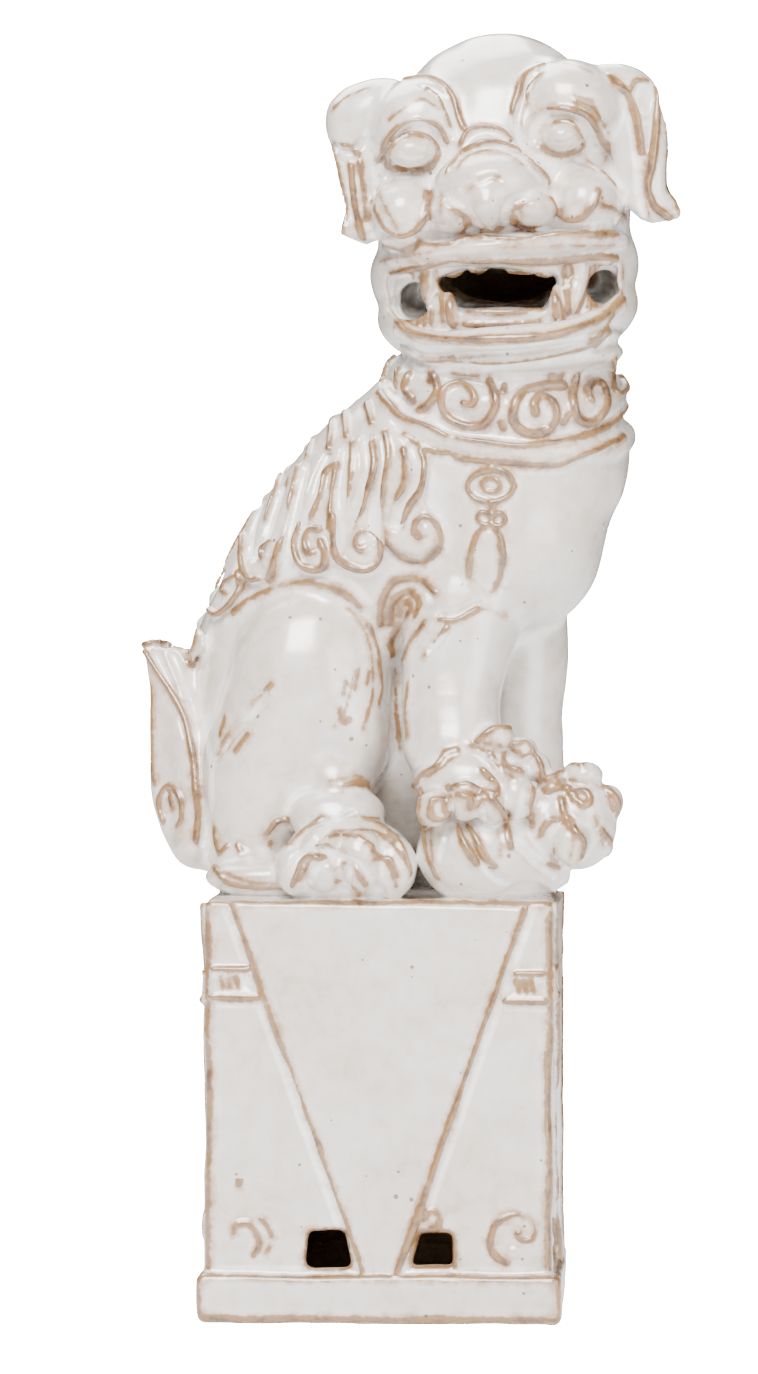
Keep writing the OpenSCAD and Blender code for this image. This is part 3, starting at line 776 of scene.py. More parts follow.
for at in ((-10, -7.8, 41), (5.6, -8, 41)):
    nose.scoop(at, (2.1, 2.6, 4), face, soft=1)
nose.ridges(skull, face, (
    ([0.5, 0.8, 0.5], [(-13.4, -3.4), (-10.4, -5.4), (-8.9, -8.4), (-11.6, -10.6)]),
    ([0.5, 0.8, 0.5], [(8, -2.9), (5.6, -5), (4.6, -8.3), (7.6, -11), (12.4, -10.8)]),
    ([0.5], [(-4.6, -10.4), (-2, -11.2), (1.2, -10.4)])), rise=0, show=1.2)
eyes.crease(skull.onto(face, smooth_path([(-27, 14), (-24.5, 12.8), (-21, 13)])), [0.45], skull)
eyes.crease(skull.onto(face, smooth_path([(18, 14), (20.9, 12.8), (24, 13.6)])), [0.45], skull)
jaw.creases(skull, face, (
    ([1.1], [(-33, -39), (-27, -43.4), (-16, -45.4), (0, -46), (14, -45.8), (24, -44.6),
             (31.5, -41)]),
    ([1.3], [(-33, -45), (-24, -49.6), (-10, -51.6), (8, -51.8), (22, -50.4), (30, -46.5)])))
jaw.ridge(skull.onto(face, smooth_path([(-31, -43), (-24, -47), (-10, -48.4), (6, -48.6),
                                          (20, -47.4), (30, -43)])), [0.9], skull, show=0)
jaw.ridges(skull, face, (
    ([0.9, 1.2, 1.2, 0.9], [(-32.3, -35.2), (-28.4, -39.2), (-17.4, -41.7), (-3.5, -42.9),
                            (10.4, -43.4), (18.9, -42.2), (28.4, -39.3), (35.4, -34.4)]),
    ([0.35], [(-26, -47), (-12, -49.8), (6, -50.2), (20, -48.6), (29, -44.6)]),
    ([0.5], [(24, -46), (29, -42.6), (32, -39)]), ([0.5], [(26, -48), (31, -43.4)])))

head.stain(skull, face, [(-30, 25), (-20, 30), (-14, 26)], [(31, 24), (35, 14), (33, 6)],
           [(24, 28), (31, 25)], [(-36, 12), (-34, 2), (-30, -8)], [(-36, -17), (-20, -15.6)],
           [(26, 7), (33, 3), (38, -4)], [(32, -6), (38, -10)], [(0, -16), (16, -16.6), (34, -18)],
           [(-16, 44), (-4, 47), (10, 46.5), (22, 42)], [(15, 38), (24, 37), (31, 34)],
           away=0.2)
nose.stain(skull, face, [(-9, -9), (-10, -5)], [(6, -9), (6, -5)], [(-9, 2), (-4, 5), (1.6, 5)],
           [(-16, 1), (-17, -7)], away=0.2)
jaw.stain(skull, face, [(-30, -40), (-16, -43), (2, -44), (20, -43), (32, -38)],
          [(-20, -47), (4, -49), (22, -47)], [(-34, -30), (-31, -38)], [(36, -24), (35, -34)],
          away=0.25)


# ---- Teeth ----
# Rolled and pinched one by one, and set in the gums with slip: blunt front teeth, a thin
# roll above the lower ones, four long fangs with a fold or two of lip beside them, and
# ribbed molars in the corners of the mouth.

gums = together(head, jaw, soft=2)
upper_teeth = Clay("upper_teeth", 0.5)
lower_teeth = Clay("lower_teeth", 0.5)


def tooth(piece, points, radii, thinned=0.65, proud=0.2):
    """A rolled tooth, with the glaze thinned down its face."""
    line, radii = gums.onto(face, smooth_path(points, 0.6)), np.array(radii)
    up = gums.slope(line)
    piece.add(*piece.rod(line + up * proud, radii, 4), 0.4)
    if thinned:
        piece.mark(piece.crest, line + up * (proud + radii.mean()), radii * thinned)


for points in ([(-15, -22.8), (-12.6, -22)], [(-8.6, -21.6), (-5, -22.2), (-1, -22.4)],
               [(2.8, -22.6), (8.4, -23.2)], [(11.2, -23.8), (13.6, -24.8)]):
    tooth(upper_teeth, points, [1.25], 0.7)
for points in ([(-11.8, -37.9), (-8, -38.2)], [(-6, -38.4), (-2.3, -38.7)],
               [(-0.4, -38.8), (3, -39)], [(5, -39), (9.2, -39)]):
    tooth(lower_teeth, points, [1.3], 0.75)
tooth(lower_teeth, [(-11, -34.4), (0.3, -35.4), (11, -36)], [0.9], 0.6)
tooth(upper_teeth, [(-21.6, -22), (-22, -26.5), (-21.9, -32.5)], [2.6, 2.3, 0.8], 0.45, 0.6)
tooth(upper_teeth, [(18.9, -23.6), (19, -26.5), (18.7, -30.5)], [1.5, 1.4, 0.8], 0.7)
tooth(upper_teeth, [(22.7, -22.8), (21.8, -29), (19.8, -36.8)], [2.9, 2.4, 0.7], 0, 0.8)
tooth(lower_teeth, [(-15.3, -37), (-15.8, -33), (-16.6, -27.4)], [2.2, 1.9, 0.7], 0.5, 0.4)
tooth(lower_teeth, [(15.6, -38.6), (15.4, -34), (15.9, -29.4)], [2.6, 2, 0.6], 0.5, 0.4)
for points, radius in (([(18.2, -29), (18.9, -33), (18.6, -37)], 0.4),
                       ([(25.6, -24), (24.4, -30), (21.6, -36.6)], 0.45),
                       ([(-19, -22), (-18.4, -30), (-18.6, -36.6)], 0.35),
                       ([(-24.2, -23), (-24.4, -26), (-23, -31)], 0.35)):
    tooth(upper_teeth, points, [radius], 0.9, 0.1)
for piece, first, last, low, high, ribs in (
        (lower_teeth, -30.6, -21.6, (-31.6, -35.6), (-33.6, -37.2), 6),
        (lower_teeth, 25.2, 33.6, (-32.6, -36.4), (-32.2, -34.6), 6),
        (upper_teeth, 27, 34.2, (-22.8, -25.2), (-23.2, -25), 5),
        (upper_teeth, -31.5, -26.4, (-22.2, -24.8), (-22, -25), 4)):
    for k in np.linspace(0, 1, ribs):
        u = first + (last - first) * k
        top, foot = np.array(low) * (1 - k) + np.array(high) * k
        tooth(piece, [(u, top), (u - 0.4, foot)], [0.62], 0.6)


# ---- Ears ----
# Flaps of slab folded over at the root, with a lump of clay behind the fold, and left to
# hang beside the face.

right_ear = Clay("right_ear", 2)
EAR = Board(HEAD, -2, 4.5, depth=20, eye=eye)
right_ear.add(*right_ear.plate(EAR, [
    (-28.4, 37.2), (-35.7, 37.2), (-42.7, 35), (-47.1, 31), (-49.4, 25.9), (-49.8, 22.3),
    (-48.5, 16.8), (-47.3, 8.9), (-46, 2), (-46, -1.2), (-48.1, -5.6), (-47.7, -7.7),
    (-43.9, -9.8), (-40.8, -11.4), (-34, -9), (-31, 0), (-30, 12), (-28, 24)], 2, 17, 4), 1)
right_ear.lump((-39, 28, 9), (11, 9.5, 11), face, turn=-12, soft=5)
right_ear.lump((-34, 30, 8), (10, 8, 12), face, soft=4)
ear = together(right_ear, head)
right_ear.creases(ear, EAR, (
    ([1.2], [(-50, 21), (-46.5, 18.4), (-42.5, 18), (-38.5, 20)]),
    ([1.4], [(-37.5, 22), (-36.6, 12), (-37, 2), (-38.5, -8)]),
    ([0.9], [(-46, 14), (-45.3, 6), (-44.8, -3)])))
right_ear.ridges(ear, EAR, (
    ([0.8], [(-48.6, 20), (-47.6, 14), (-46.6, 7), (-45.6, 0), (-46.6, -4), (-47.4, -7)]),
    ([0.8, 1.3, 0.9], [(-43.4, 13), (-43.6, 8), (-43.2, 2), (-42.6, -4), (-41.6, -9)]),
    ([0.6], [(-40.6, 14), (-40.2, 6), (-40.2, -3)]),
    ([0.5], [(-46, 19), (-43, 18.6), (-41, 16.6)]),
    ([0.45], [(-47, 31), (-43, 34), (-37, 36)])), show=1.2)

left_ear = Clay("left_ear", 2)
left_ear.add(*left_ear.plate(EAR, [
    (30.4, 36.2), (34.3, 36.8), (39.4, 36.2), (44.4, 34.3), (48.5, 31.2), (50, 29),
    (50.2, 25.7), (51.5, 20), (51.8, 14.8), (51.3, 8), (50.3, 0.4), (50.3, -2.2),
    (52.2, -5.4), (53.9, -8.5), (53.6, -10.4), (50.9, -10.9), (45.3, -11.5), (42.2, -10.2),
    (38, -6), (36, 0), (35, 10), (34, 20), (30, 28)], 2, 17, 3.4), 1)
left_ear.lump((37, 29.5, 9), (9, 7, 10), face, turn=8, soft=4)
ear = together(left_ear, head)
left_ear.dig(EAR, [(42.6, 27), (44.4, 30.2), (48, 30.2), (48.8, 25.8), (48.2, 19), (47.2, 12),
                   (45.6, 6), (44.6, 10), (44, 20)], ear, 1.5, 0, 30, 1.2)
left_ear.ridges(ear, EAR, (
    ([0.7], [(35.7, 32.9), (36.8, 31), (39.7, 28.9), (41.3, 27.6), (43.1, 22.8), (43.9, 9.8)]),
    ([0.6], [(42.6, 29), (44.2, 31), (48, 30.9), (49.4, 29)]),
    ([0.9, 1.2, 1.0], [(49.4, 28.6), (49.6, 25.8), (49.1, 18.9), (48, 12.1), (46.5, 5.4),
                       (44.9, 0.3), (45.4, -4), (46.9, -7.1), (50.4, -9.9)]),
    ([0.6], [(51.6, 18), (51.6, 10), (50.6, 2), (50.6, -2), (52.6, -6), (53.4, -9)])), show=1.2)
left_ear.creases(ear, EAR, (([1.0], [(41.6, 20), (42.2, 8), (42.6, -4), (43.4, -9)]),))

left_ear.stain(ear, EAR, [(45.6, 28), (45.8, 18), (45, 8), (43.6, -2), (44.6, -9)],
               [(36, 34), (40, 30), (42, 22)], away=0.1)
right_ear.stain(ear, EAR, [(-45, 16), (-44.6, 6), (-44, -4), (-43, -9)], [(-47, 31), (-38, 36)],
                away=0.2)


# ---- Collar ----
# A flat coil round the neck below a ruff of rolled scrolls, each scroll laid on by hand.

NECK = np.array([38.0, -3.0])
NECK_RADIUS = 33.0
SCROLLS = 8

collar = Clay("collar_roll", 1.5)
ruff = Clay("collar_scrolls", 1.2)
neck = together(torso, head, jaw, soft=3)


def neck_lift(turn):
    """How much higher the collar stands at a turn round the neck, since it is tipped."""
    return 8.5 * np.sin(turn) - 4 * np.cos(turn)


for piece, low, tube, sunk in ((collar, 270.5, 3.6, 1.3), (ruff, 283, 5.5, 2.6)):
    turn = np.radians(np.arange(0, 361, 6))
    ring = np.stack([NECK[0] + NECK_RADIUS * np.cos(turn), NECK[1] + NECK_RADIUS * np.sin(turn),
                     low + neck_lift(turn)], 1)
    ring = neck.snap(ring)
    ring = ring - neck.slope(ring) * sunk
    piece.add(*piece.rod(ring, [tube], REACH), 0.5)
throat = together(torso, jaw, collar, ruff, soft=2)
bib = Board(depth=38, eye=eye)
collar.creases(throat, bib, (
    ([1.0], [(1, 281), (5, 276.5), (8, 273.6), (15, 270.8), (20, 268.4), (33, 266.4),
             (50, 265.4), (62, 268.6), (70, 272.6), (75, 277)]),
    ([1.0], [(8, 264), (13, 260.6), (21, 258.6), (33, 256.6), (45, 255.8), (55, 256.4),
             (63, 259), (70, 263)])))
collar.ridges(throat, bib, (
    ([0.8], [(0, 279), (3.5, 275), (7, 271.5), (15, 268.5), (20, 266)]),
    ([0.8], [(23.5, 265.3), (33, 264), (43, 263), (58, 265), (66, 268), (72, 272), (74, 275)]),
    ([0.7], [(8, 266.6), (12.5, 263.5), (17, 261.5), (21.5, 261), (24, 259.5), (33, 258.7),
             (45, 257.7), (54, 257.7), (60, 260), (68, 263), (73, 266)])))
ruff.ridges(throat, bib, (
    ([1.3], [(33, 282), (34.8, 276), (32, 270.4), (27, 268.9), (21.6, 270.8), (19, 275),
             (19.4, 279.6), (22.4, 281.6), (26.4, 280.7), (28.6, 277.4), (27.2, 275.4),
             (25, 276)]),
    ([1.3], [(54.5, 281), (48, 280.6), (42, 278), (39.8, 272.4), (42, 268.2), (46, 266.7),
             (50.5, 268), (52.6, 272.2), (51.4, 276), (48, 277.3), (46, 275.4), (46.6, 273)]),
    ([1.3], [(58.4, 284), (57.6, 277.4), (59, 271.6), (62.5, 270.4), (66, 272.6), (67.8, 277),
             (66.4, 281.6), (63.4, 282), (62, 279), (63, 276.4)]),
    ([1.2], [(70, 289), (69.4, 283), (71, 278.5), (73.4, 280), (74.2, 285)]),
    ([1.2], [(9, 284), (8, 280.4), (10.5, 277)]),
    ([1.2], [(16, 284.6), (17.5, 280), (15, 275.6), (12, 273.4)]),
    ([0.8], [(5, 281), (5.4, 286)]), ([0.8], [(36.4, 270), (37.2, 268.6)]),
    ([0.8], [(37, 279), (37.4, 281)]), ([0.8], [(55, 270), (56, 272.4)]),
    ([0.8], [(22, 284.6), (29, 284.4)]), ([0.8], [(51, 284), (54, 284.6)])), show=1.15)
for k in range(SCROLLS):
    turn = math.radians(38 + 35 * k)
    out = np.array([math.cos(turn), math.sin(turn)])
    middle = NECK + NECK_RADIUS * out
    along = np.array([-out[1], out[0]])
    if middle[1] < -20:    # the front ones are already drawn, each to its own shape
        continue
    height = 277 + neck_lift(turn)
    swirl = []
    for step in range(26):
        angle, reach = 1.2 - step * 0.36, 7.2 * (1 - step / 34)
        x, y = middle + along * reach * 0.9 * math.cos(angle)
        swirl.append((x, y, height + reach * math.sin(angle)))
    swirl = throat.snap(swirl)
    ruff.ridge(smooth_path(swirl, 0.7), [1.3, 1.1], throat, show=1.1)


# ---- Pendant ----
# A pressed sprig on the chest: a bead, a ring, a knotted bow and a tassel.

pendant = Clay("chest_pendant", 0.6)
chest = together(torso, collar, soft=1.5)
for radii, points in (
        ([1.2], [(33.3, 256.2), (33.7, 256.4)]),
        ([1.1], [(40.4, 251), (38, 254.8), (33.3, 256), (28.6, 254.4), (26.2, 251),
                 (28.4, 247.4), (33.3, 246), (38.2, 247.6), (40.4, 251)]),
        ([0.7], [(30.4, 252), (33.3, 253.4), (36.4, 251.6), (35, 249.4), (31.6, 249.4),
                 (30.4, 252)]),
        ([1.3], [(33.7, 246), (33.7, 242.5)]),
        ([1.2, 0.8], [(33, 242), (30.6, 243.2), (29.4, 241), (31.4, 239.4), (33.2, 240)]),
        ([1.2, 0.8], [(34, 242), (36.4, 242.8), (37.6, 240.6), (35.6, 238.9), (33.8, 240)]),
        ([0.75], [(31.6, 238.6), (29.5, 237), (27.8, 231), (27.2, 224), (28, 219.4),
                  (31, 218.6), (34.2, 220.5), (36, 224.5), (36.9, 230), (36, 236.4),
                  (33.6, 239)])):
    line = chest.onto(bib, smooth_path(points, 0.6))
    pendant.ridge(line, radii, chest, show=0.75)
pendant.blanket(bib, [(30.4, 237.6), (28.6, 231), (28.2, 221), (33, 220.4), (35.8, 226),
                      (36, 236), (33, 238.4)], chest, 0.7, 5, 60, 0.8, 0.4)
x, y, z = chest.onto(bib, [(37.8, 221.3)])[0]
pendant.lump((x, z, -y), (0.9, 0.9, 0.9), soft=0.3)


# ---- Locks and spine curls ----
# Two rows of locks drawn out of the mane's layer with a tool, each rolled into a curl at
# its end round a bead of clay, and a row of beads pressed down the spine.

hide = together(torso, right_mane, right_haunch, soft=2)
right_mane.creases(hide, front, (
    ([2], [(10, 263), (11, 256), (9.5, 249), (5.5, 244.5), (4.6, 240)]),
    ([1.9], [(0, 265), (0.4, 258), (-1.4, 250), (-2.4, 243), (-2.2, 236)]),
    ([2], [(-5, 265), (-4.4, 257), (-6.6, 249), (-8.6, 243.5), (-11, 239)]),
    ([1.9], [(-11, 262), (-12.4, 254), (-12.8, 246), (-12.6, 236), (-13, 230)]),
    ([1.9], [(-16, 261), (-19, 255), (-21, 249), (-24, 243), (-24, 240)]),
    ([1.9], [(-22.6, 257), (-25.2, 248), (-27, 240), (-28.6, 232), (-28.4, 228)]),
    ([1.6], [(-30.4, 250), (-33.4, 242), (-35.4, 235), (-38.6, 230)]),
    ([1.6], [(-36, 246), (-39, 238), (-40, 232), (-43.6, 226)]),
    ([1.5], [(-44.6, 240), (-46.6, 232), (-48.4, 226), (-51.6, 219)]),
    ([1.5], [(-54.6, 224), (-57.6, 214), (-58.8, 208)])))
right_mane.ridges(hide, front, (
    ([0.85], [(1.5, 267), (2.5, 260), (1, 252), (0, 244), (1, 238), (3, 233), (8, 229.5),
             (14, 230), (17.3, 234), (17.4, 238), (15.2, 241.3), (12.5, 242), (10.3, 240),
             (9.9, 237.4), (11.3, 236)]),
    ([0.98, 1.6, 0.98], [(11.5, 261.5), (13, 257), (12, 250), (8.5, 245), (6, 239.5)]),
    ([0.67], [(7, 262), (7.4, 254), (5, 247)]),
    ([1.1], [(-14, 242), (-14, 233), (-12, 228.5), (-7, 226.2), (-2.4, 227), (-0.2, 231),
             (-1, 235.6), (-4, 237.6), (-7, 236.3), (-7.6, 233.5), (-6, 232)]),
    ([0.85, 1.3, 0.85], [(-2.5, 264), (-1.8, 257), (-4, 249), (-5.5, 244), (-8, 239.6)]),
    ([0.67], [(-8.4, 264), (-8.8, 256), (-10, 248)]),
    ([1.1], [(-24.3, 240), (-26, 234), (-24.6, 228.2), (-21, 226.3), (-17, 227.2),
             (-16.6, 231), (-18, 234.4)]),
    ([0.85], [(-18, 238), (-21.5, 238), (-23, 234.5), (-22, 231.4), (-20, 231.4)]),
    ([1.2, 0.85], [(-13, 257.5), (-16.5, 255), (-18, 249), (-21, 242)]),
    ([0.73], [(-13.4, 256), (-15, 247), (-15.3, 238.5)]),
    ([0.85], [(-25, 257), (-27.5, 247), (-29, 238), (-30.2, 232)]),
    ([1.1], [(-30.5, 234), (-32, 228), (-34, 224)]),
    ([0.98], [(-33, 235), (-36, 232.4), (-36, 229.5)]),
    ([1.1], [(-41.5, 236), (-41.6, 227), (-39.6, 223.2), (-37, 223.5)]),
    ([1.1, 0.85], [(-30, 255), (-33, 247), (-35, 241)]), ([0.61], [(-28, 254), (-29, 251)]),
    ([1.1], [(-43, 225), (-42.6, 220.6), (-45.5, 216), (-49.6, 212.6), (-52, 214)]),
    ([0.85], [(-44.4, 223.6), (-47.8, 221.4), (-48, 219.5), (-46.2, 218.8)]),
    ([1.1, 0.73], [(-41, 245), (-43, 236), (-47, 229)]),
    ([0.73], [(-49, 236), (-51, 229), (-53, 222)]),
    ([0.98], [(-61.4, 200), (-60.4, 197.4), (-58.4, 198), (-56.4, 202), (-54.8, 208)]),
    ([0.85], [(-59.6, 201.4), (-59.6, 204.6), (-57.6, 205.8)]),
    ([0.98, 0.73], [(-52, 224), (-54.6, 217), (-56.5, 211)]),
    ([0.85], [(-14, 274), (-14.6, 268), (-15.5, 262)]), ([0.85], [(-10.6, 273), (-10, 266)]),
    ([0.73], [(-20, 266), (-22, 260)]), ([0.73], [(-4, 276), (-2.4, 270)])), show=1.1)
for at, size in (((13.6, 238), 2.2), ((-4.4, 232.4), 2.2), ((-20.4, 230), 2), ((-34, 229), 2),
                 ((-46.4, 218.6), 1.8), ((-58, 201.6), 1.6)):
    x, y, z = hide.onto(front, [at])[0]
    right_mane.lump((x, z, -y - 0.6), (size, size, 1.8), soft=0.8)

spine = Clay("spine_curls", 1.5)
ridge_line = [(-2, 285), (-10, 279), (-18, 271.5), (-25, 264.5), (-31, 257), (-38.5, 248.5),
              (-45, 239), (-51.5, 228.5), (-57, 219), (-61, 210)]
for k, (x, z) in enumerate(ridge_line):
    before, after = ridge_line[max(k - 1, 0)], ridge_line[min(k + 1, len(ridge_line) - 1)]
    along = np.array(after) - np.array(before)
    along = along / np.linalg.norm(along)
    y = SPINE[1] - (x - SPINE[0]) * ACROSS[0] / ACROSS[1]
    x, y, z = torso.snap([(x, y, z)])[0]
    tip = np.array([x - 0.6, y, z + 0.6])
    reach = np.array([along[0] * 0.94, along[0] * -0.34, along[1]]) * 2.6
    spine.coil([tip - reach, tip + reach], [2.2, 3.0, 2.0], 0.5)
    spine.mark(spine.crest, smooth_path([tip - reach * 0.8 + (-1.8, 0.6, 1.4),
                                         tip + reach * 0.8 + (-1.8, 0.6, 1.4)]), [0.5])


# ---- Haunch and hind paw ----
# Folds of skin and curls of hair drawn on the haunch, and toes and claws on the paw. The
# glaze has run off their tops.

flank = Board(depth=22, eye=eye)
right_haunch.ridges(hide, flank, (
    ([0.5], [(-45, 213), (-40, 217), (-30, 221), (-22, 222), (-12, 219), (-7, 215)]),
    ([0.7, 0.9, 0.6], [(-4.5, 209), (-2, 203), (-1, 197), (0, 190), (-1, 186)]),
    ([0.7, 1.0, 0.6], [(-33.5, 191), (-38, 186), (-42, 180.5), (-47, 175), (-50, 169)]),
    ([0.6], [(-41, 176), (-44.5, 171)]), ([0.5], [(-48, 181), (-49, 176)]),
    ([0.3], [(-7, 196), (-8.4, 190)]), ([0.3], [(-4, 195), (-4.6, 191.6)]),
    ([0.3], [(-11, 192), (-12, 188)]),
    ([0.3], [(-13, 184), (-12, 179.5), (-10, 180.5)])), rise=-0.1)
right_haunch.creases(hide, flank, (
    ([1.6, 1.0], [(-35, 188), (-40, 182), (-45.5, 176), (-50.5, 168)]),
    ([1.0], [(-48, 216), (-42, 220), (-31, 223.6), (-21, 224.6), (-10, 221.6), (-4, 216)])))
right_haunch.ridges(hide, flank, (
    ([0.7], [(-51, 148), (-50.5, 143), (-49, 140), (-47, 142)]),
    ([0.5], [(-44, 142.5), (-43, 140.5)]),
    ([0.6], [(-51, 136), (-47, 131), (-38, 129.5), (-30, 129.5)]),
    ([0.9], [(-35, 146), (-32, 149.5), (-28.5, 150.5)]),
    ([0.9], [(-26.5, 147), (-23, 150), (-19, 150.6)]),
    ([0.8], [(-34, 143), (-31.5, 139), (-30.5, 136)]),
    ([0.6], [(-12, 160.5), (-8, 161.4), (-5, 161), (-4, 159)])), show=1.2)
right_haunch.stain(hide, flank, [(-10, 214), (-5, 207), (-3, 198), (-3, 188), (-6, 178)],
                   [(-8, 196), (-11, 184), (-15, 178)], [(-16, 162), (-6, 163), (-3, 156)],
                   [(-47, 172), (-42, 180), (-36, 188)], [(-26, 152), (-18, 155), (-12, 158)],
                   [(-50, 135), (-40, 131), (-30, 131)])

pad = together(right_hind_paw, right_haunch, soft=1.5)
step_board = Board(depth=40, eye=eye)
right_hind_paw.creases(pad, step_board, (
    ([1.3], [(-29.5, 131), (-24, 140), (-15, 149), (-8, 153)]),
    ([1.2], [(-28.5, 131), (-24, 140), (-20, 143), (-12, 140), (-5, 137), (0, 130)]),
    ([1.0], [(-21, 132), (-18, 137), (-13, 139)]), ([1.0], [(-10.5, 130), (-9, 136)])))
right_hind_paw.ridges(pad, step_board, (
    ([0.8], [(-26.5, 131), (-24, 137), (-21, 140), (-17, 138.5), (-11, 135.5)]),
    ([0.7], [(-19, 143), (-15, 143), (-12, 141)]), ([0.7], [(-13, 132.5), (-9, 131), (-6, 128.5)]),
    ([0.7], [(-5, 151), (2, 148), (7, 142), (9, 135)]),
    ([0.7], [(-27, 143), (-22, 147.6), (-17, 151)]), ([0.6], [(-16, 146), (-8, 146.5), (-2, 143)]),
    ([0.6], [(-2, 139), (3, 139), (5, 134)])), show=1.2)
right_hind_paw.stain(pad, step_board, [(-24, 133), (-19, 140), (-9, 137), (-4, 131)],
                     [(-14, 147), (-4, 148), (4, 144), (9, 136)], [(-10, 152), (0, 151)],
                     [(-2, 142), (3, 137), (5, 131)], away=-0.2)


# ---- Forelegs, forepaw and cub ----
# A spiral of hair on the shoulder, and the cub lying on its back under the paw, with its
# own ears, brow, eye and muzzle pressed in with a small tool.

shoulder = together(right_foreleg, torso, soft=2.5)
right_foreleg.creases(shoulder, bib, (
    ([1.2], [(2, 208), (1.4, 214), (3.4, 220), (8, 222), (13.4, 220.6), (15.6, 217)]),
    ([1.2], [(18, 212.4), (23, 212.6), (29, 215.6)]), ([0.9], [(19, 206.6), (15, 202)])))
right_foreleg.ridges(shoulder, bib, (
    ([0.6], [(0, 210), (0, 214), (1, 218), (4, 222.5), (8, 223.8), (13, 222.5), (16.5, 219)]),
    ([0.5], [(3, 210), (3, 214), (4.4, 217.4), (8, 219.6), (11, 218.3), (12, 215.5), (10.6, 212)]),
    ([0.4], [(6, 212.4), (6.4, 215.6), (9, 216), (9.8, 213.6), (8, 212.4)]),
    ([0.8], [(5.5, 210), (4.5, 208), (3, 205), (3.2, 201)]),
    ([0.8], [(13.5, 210), (12, 207.5), (9, 204), (7, 199)]),
    ([0.7], [(20, 208.5), (17, 205), (13, 200)]),
    ([0.7], [(18, 211), (23, 211), (29, 214)]),
    ([0.6], [(8.4, 192), (8.2, 184), (9, 176)])), rise=0.1, show=1.1)

ball = together(right_fore_paw, cub_body, cub_head, right_foreleg, soft=1.2)
right_fore_paw.creases(ball, bib, (
    ([1.4], [(24, 171), (30, 170), (35, 164), (38, 158), (38, 152)]),
    ([1.0], [(21.5, 161), (21.6, 155), (22, 151)]), ([1.0], [(30.4, 161), (31, 155), (31.4, 151)])))
right_fore_paw.ridges(ball, bib, (
    ([0.8], [(10, 161), (11.5, 163), (13, 164.5), (17, 167), (20, 170), (23, 171)]),
    ([0.8], [(21, 160.5), (26, 161.5), (29, 160), (33, 158.7), (35, 158.6), (34.4, 162),
             (31, 165.5)]),
    ([0.9], [(30.5, 175), (34, 177.5), (38.5, 178)]), ([0.9], [(40, 173), (44, 174.2), (46, 172)]),
    ([0.9], [(43, 170), (46, 171), (48.5, 166.6), (48, 163)]),
    ([0.8], [(36, 171), (38, 167), (42, 165.6)]), ([0.7], [(27, 173), (31, 172), (34, 169)]),
    ([0.8], [(15.6, 156.6), (18.6, 157), (20.4, 155), (20.2, 152.4), (17.6, 151), (15.4, 152.4),
             (15.6, 156.6)]),
    ([0.8], [(24.5, 158), (26.8, 157.4), (27, 154.6)]), ([0.8], [(28.5, 155), (30, 157.6), (31.4, 157)]),
    ([0.9], [(33.5, 157), (37, 153), (38, 148), (39, 143)]),
    ([0.7], [(12.6, 160), (12, 154), (13, 148)])), show=1.2)
cub_body.creases(ball, bib, (
    ([1.2], [(38, 152), (39, 146), (45, 140), (53, 133)]),
    ([1.0], [(21, 149), (19, 143), (18, 139)]),
    ([1.0], [(24.5, 150), (27, 145), (30, 139), (34, 134), (38, 132)])))
cub_body.ridges(ball, bib, (
    ([0.7], [(23.5, 150), (24.5, 146), (27, 141), (29, 138)]),
    ([0.6], [(25.6, 149.5), (28.6, 145.6), (31.4, 140.6), (34.4, 137)]),
    ([0.6], [(13.4, 147), (14.4, 140), (17.6, 134)])), show=1.2)
cub_head.creases(ball, bib, (
    ([1.2], [(43.4, 158), (42, 151), (42.6, 145), (45.6, 141), (52, 135)]),
    ([0.8], [(57, 162), (59, 158.6), (64, 158)]), ([0.8], [(61.6, 139), (64, 144), (66, 150)])))
cub_head.ridges(ball, bib, (
    ([0.8], [(50.5, 163), (55, 166), (58, 167.5), (60.5, 167)]),
    ([0.8], [(66.5, 160), (69, 159), (71.3, 155.5), (71, 152.6)]),
    ([0.8], [(50, 160), (54, 161), (57, 160.4), (57.2, 158.5)]),
    ([0.7], [(58.2, 157), (59.2, 159.2), (61.8, 159.2), (62.8, 156.8), (61, 155.2), (59.8, 156.4)]),
    ([0.7], [(54.5, 157), (55.5, 152), (57.5, 150), (58.5, 147.5), (61, 144), (60.5, 139.5)]),
    ([0.7], [(52.5, 142), (52, 139.4), (53.5, 138.5)]), ([0.7], [(50, 137.4), (54, 136.4)]),
    ([0.6], [(46, 160), (45, 154), (46, 149)]), ([0.6], [(66, 148), (69, 144), (69, 140)]),
    ([0.6], [(48, 146), (50, 150), (52, 151)])), show=1.2)
right_fore_paw.stain(ball, bib, [(14, 164), (20, 168), (27, 173), (34, 174), (42, 171)],
                     [(20, 158), (28, 159), (34, 156)], [(34, 168), (40, 164)], away=-0.2)
cub_body.stain(ball, bib, [(15, 148), (16, 138)], [(24, 147), (32, 138)], [(36, 147), (36, 140)])
cub_head.stain(ball, bib, [(49, 160), (56, 163), (66, 160), (70, 154)], away=-0.2)
cub_head.stain(ball, bib, [(53, 152), (58, 146), (57, 138)], [(64, 152), (67, 143)])
cub_head.lump((57.6, 139.6, 50), (2.6, 2.4, 2.4), soft=0.8)

right_foreleg.stain(shoulder, bib, [(4, 196), (5, 184), (6, 172)],
                    [(20, 210), (30, 214), (38, 212)])


# ---- Plume of the tail, and the far side ----
# The plume's long edge and curl drawn on it. Then the far haunch, hind paw and mane, which
# are the near ones' twins, with all that is drawn on them.

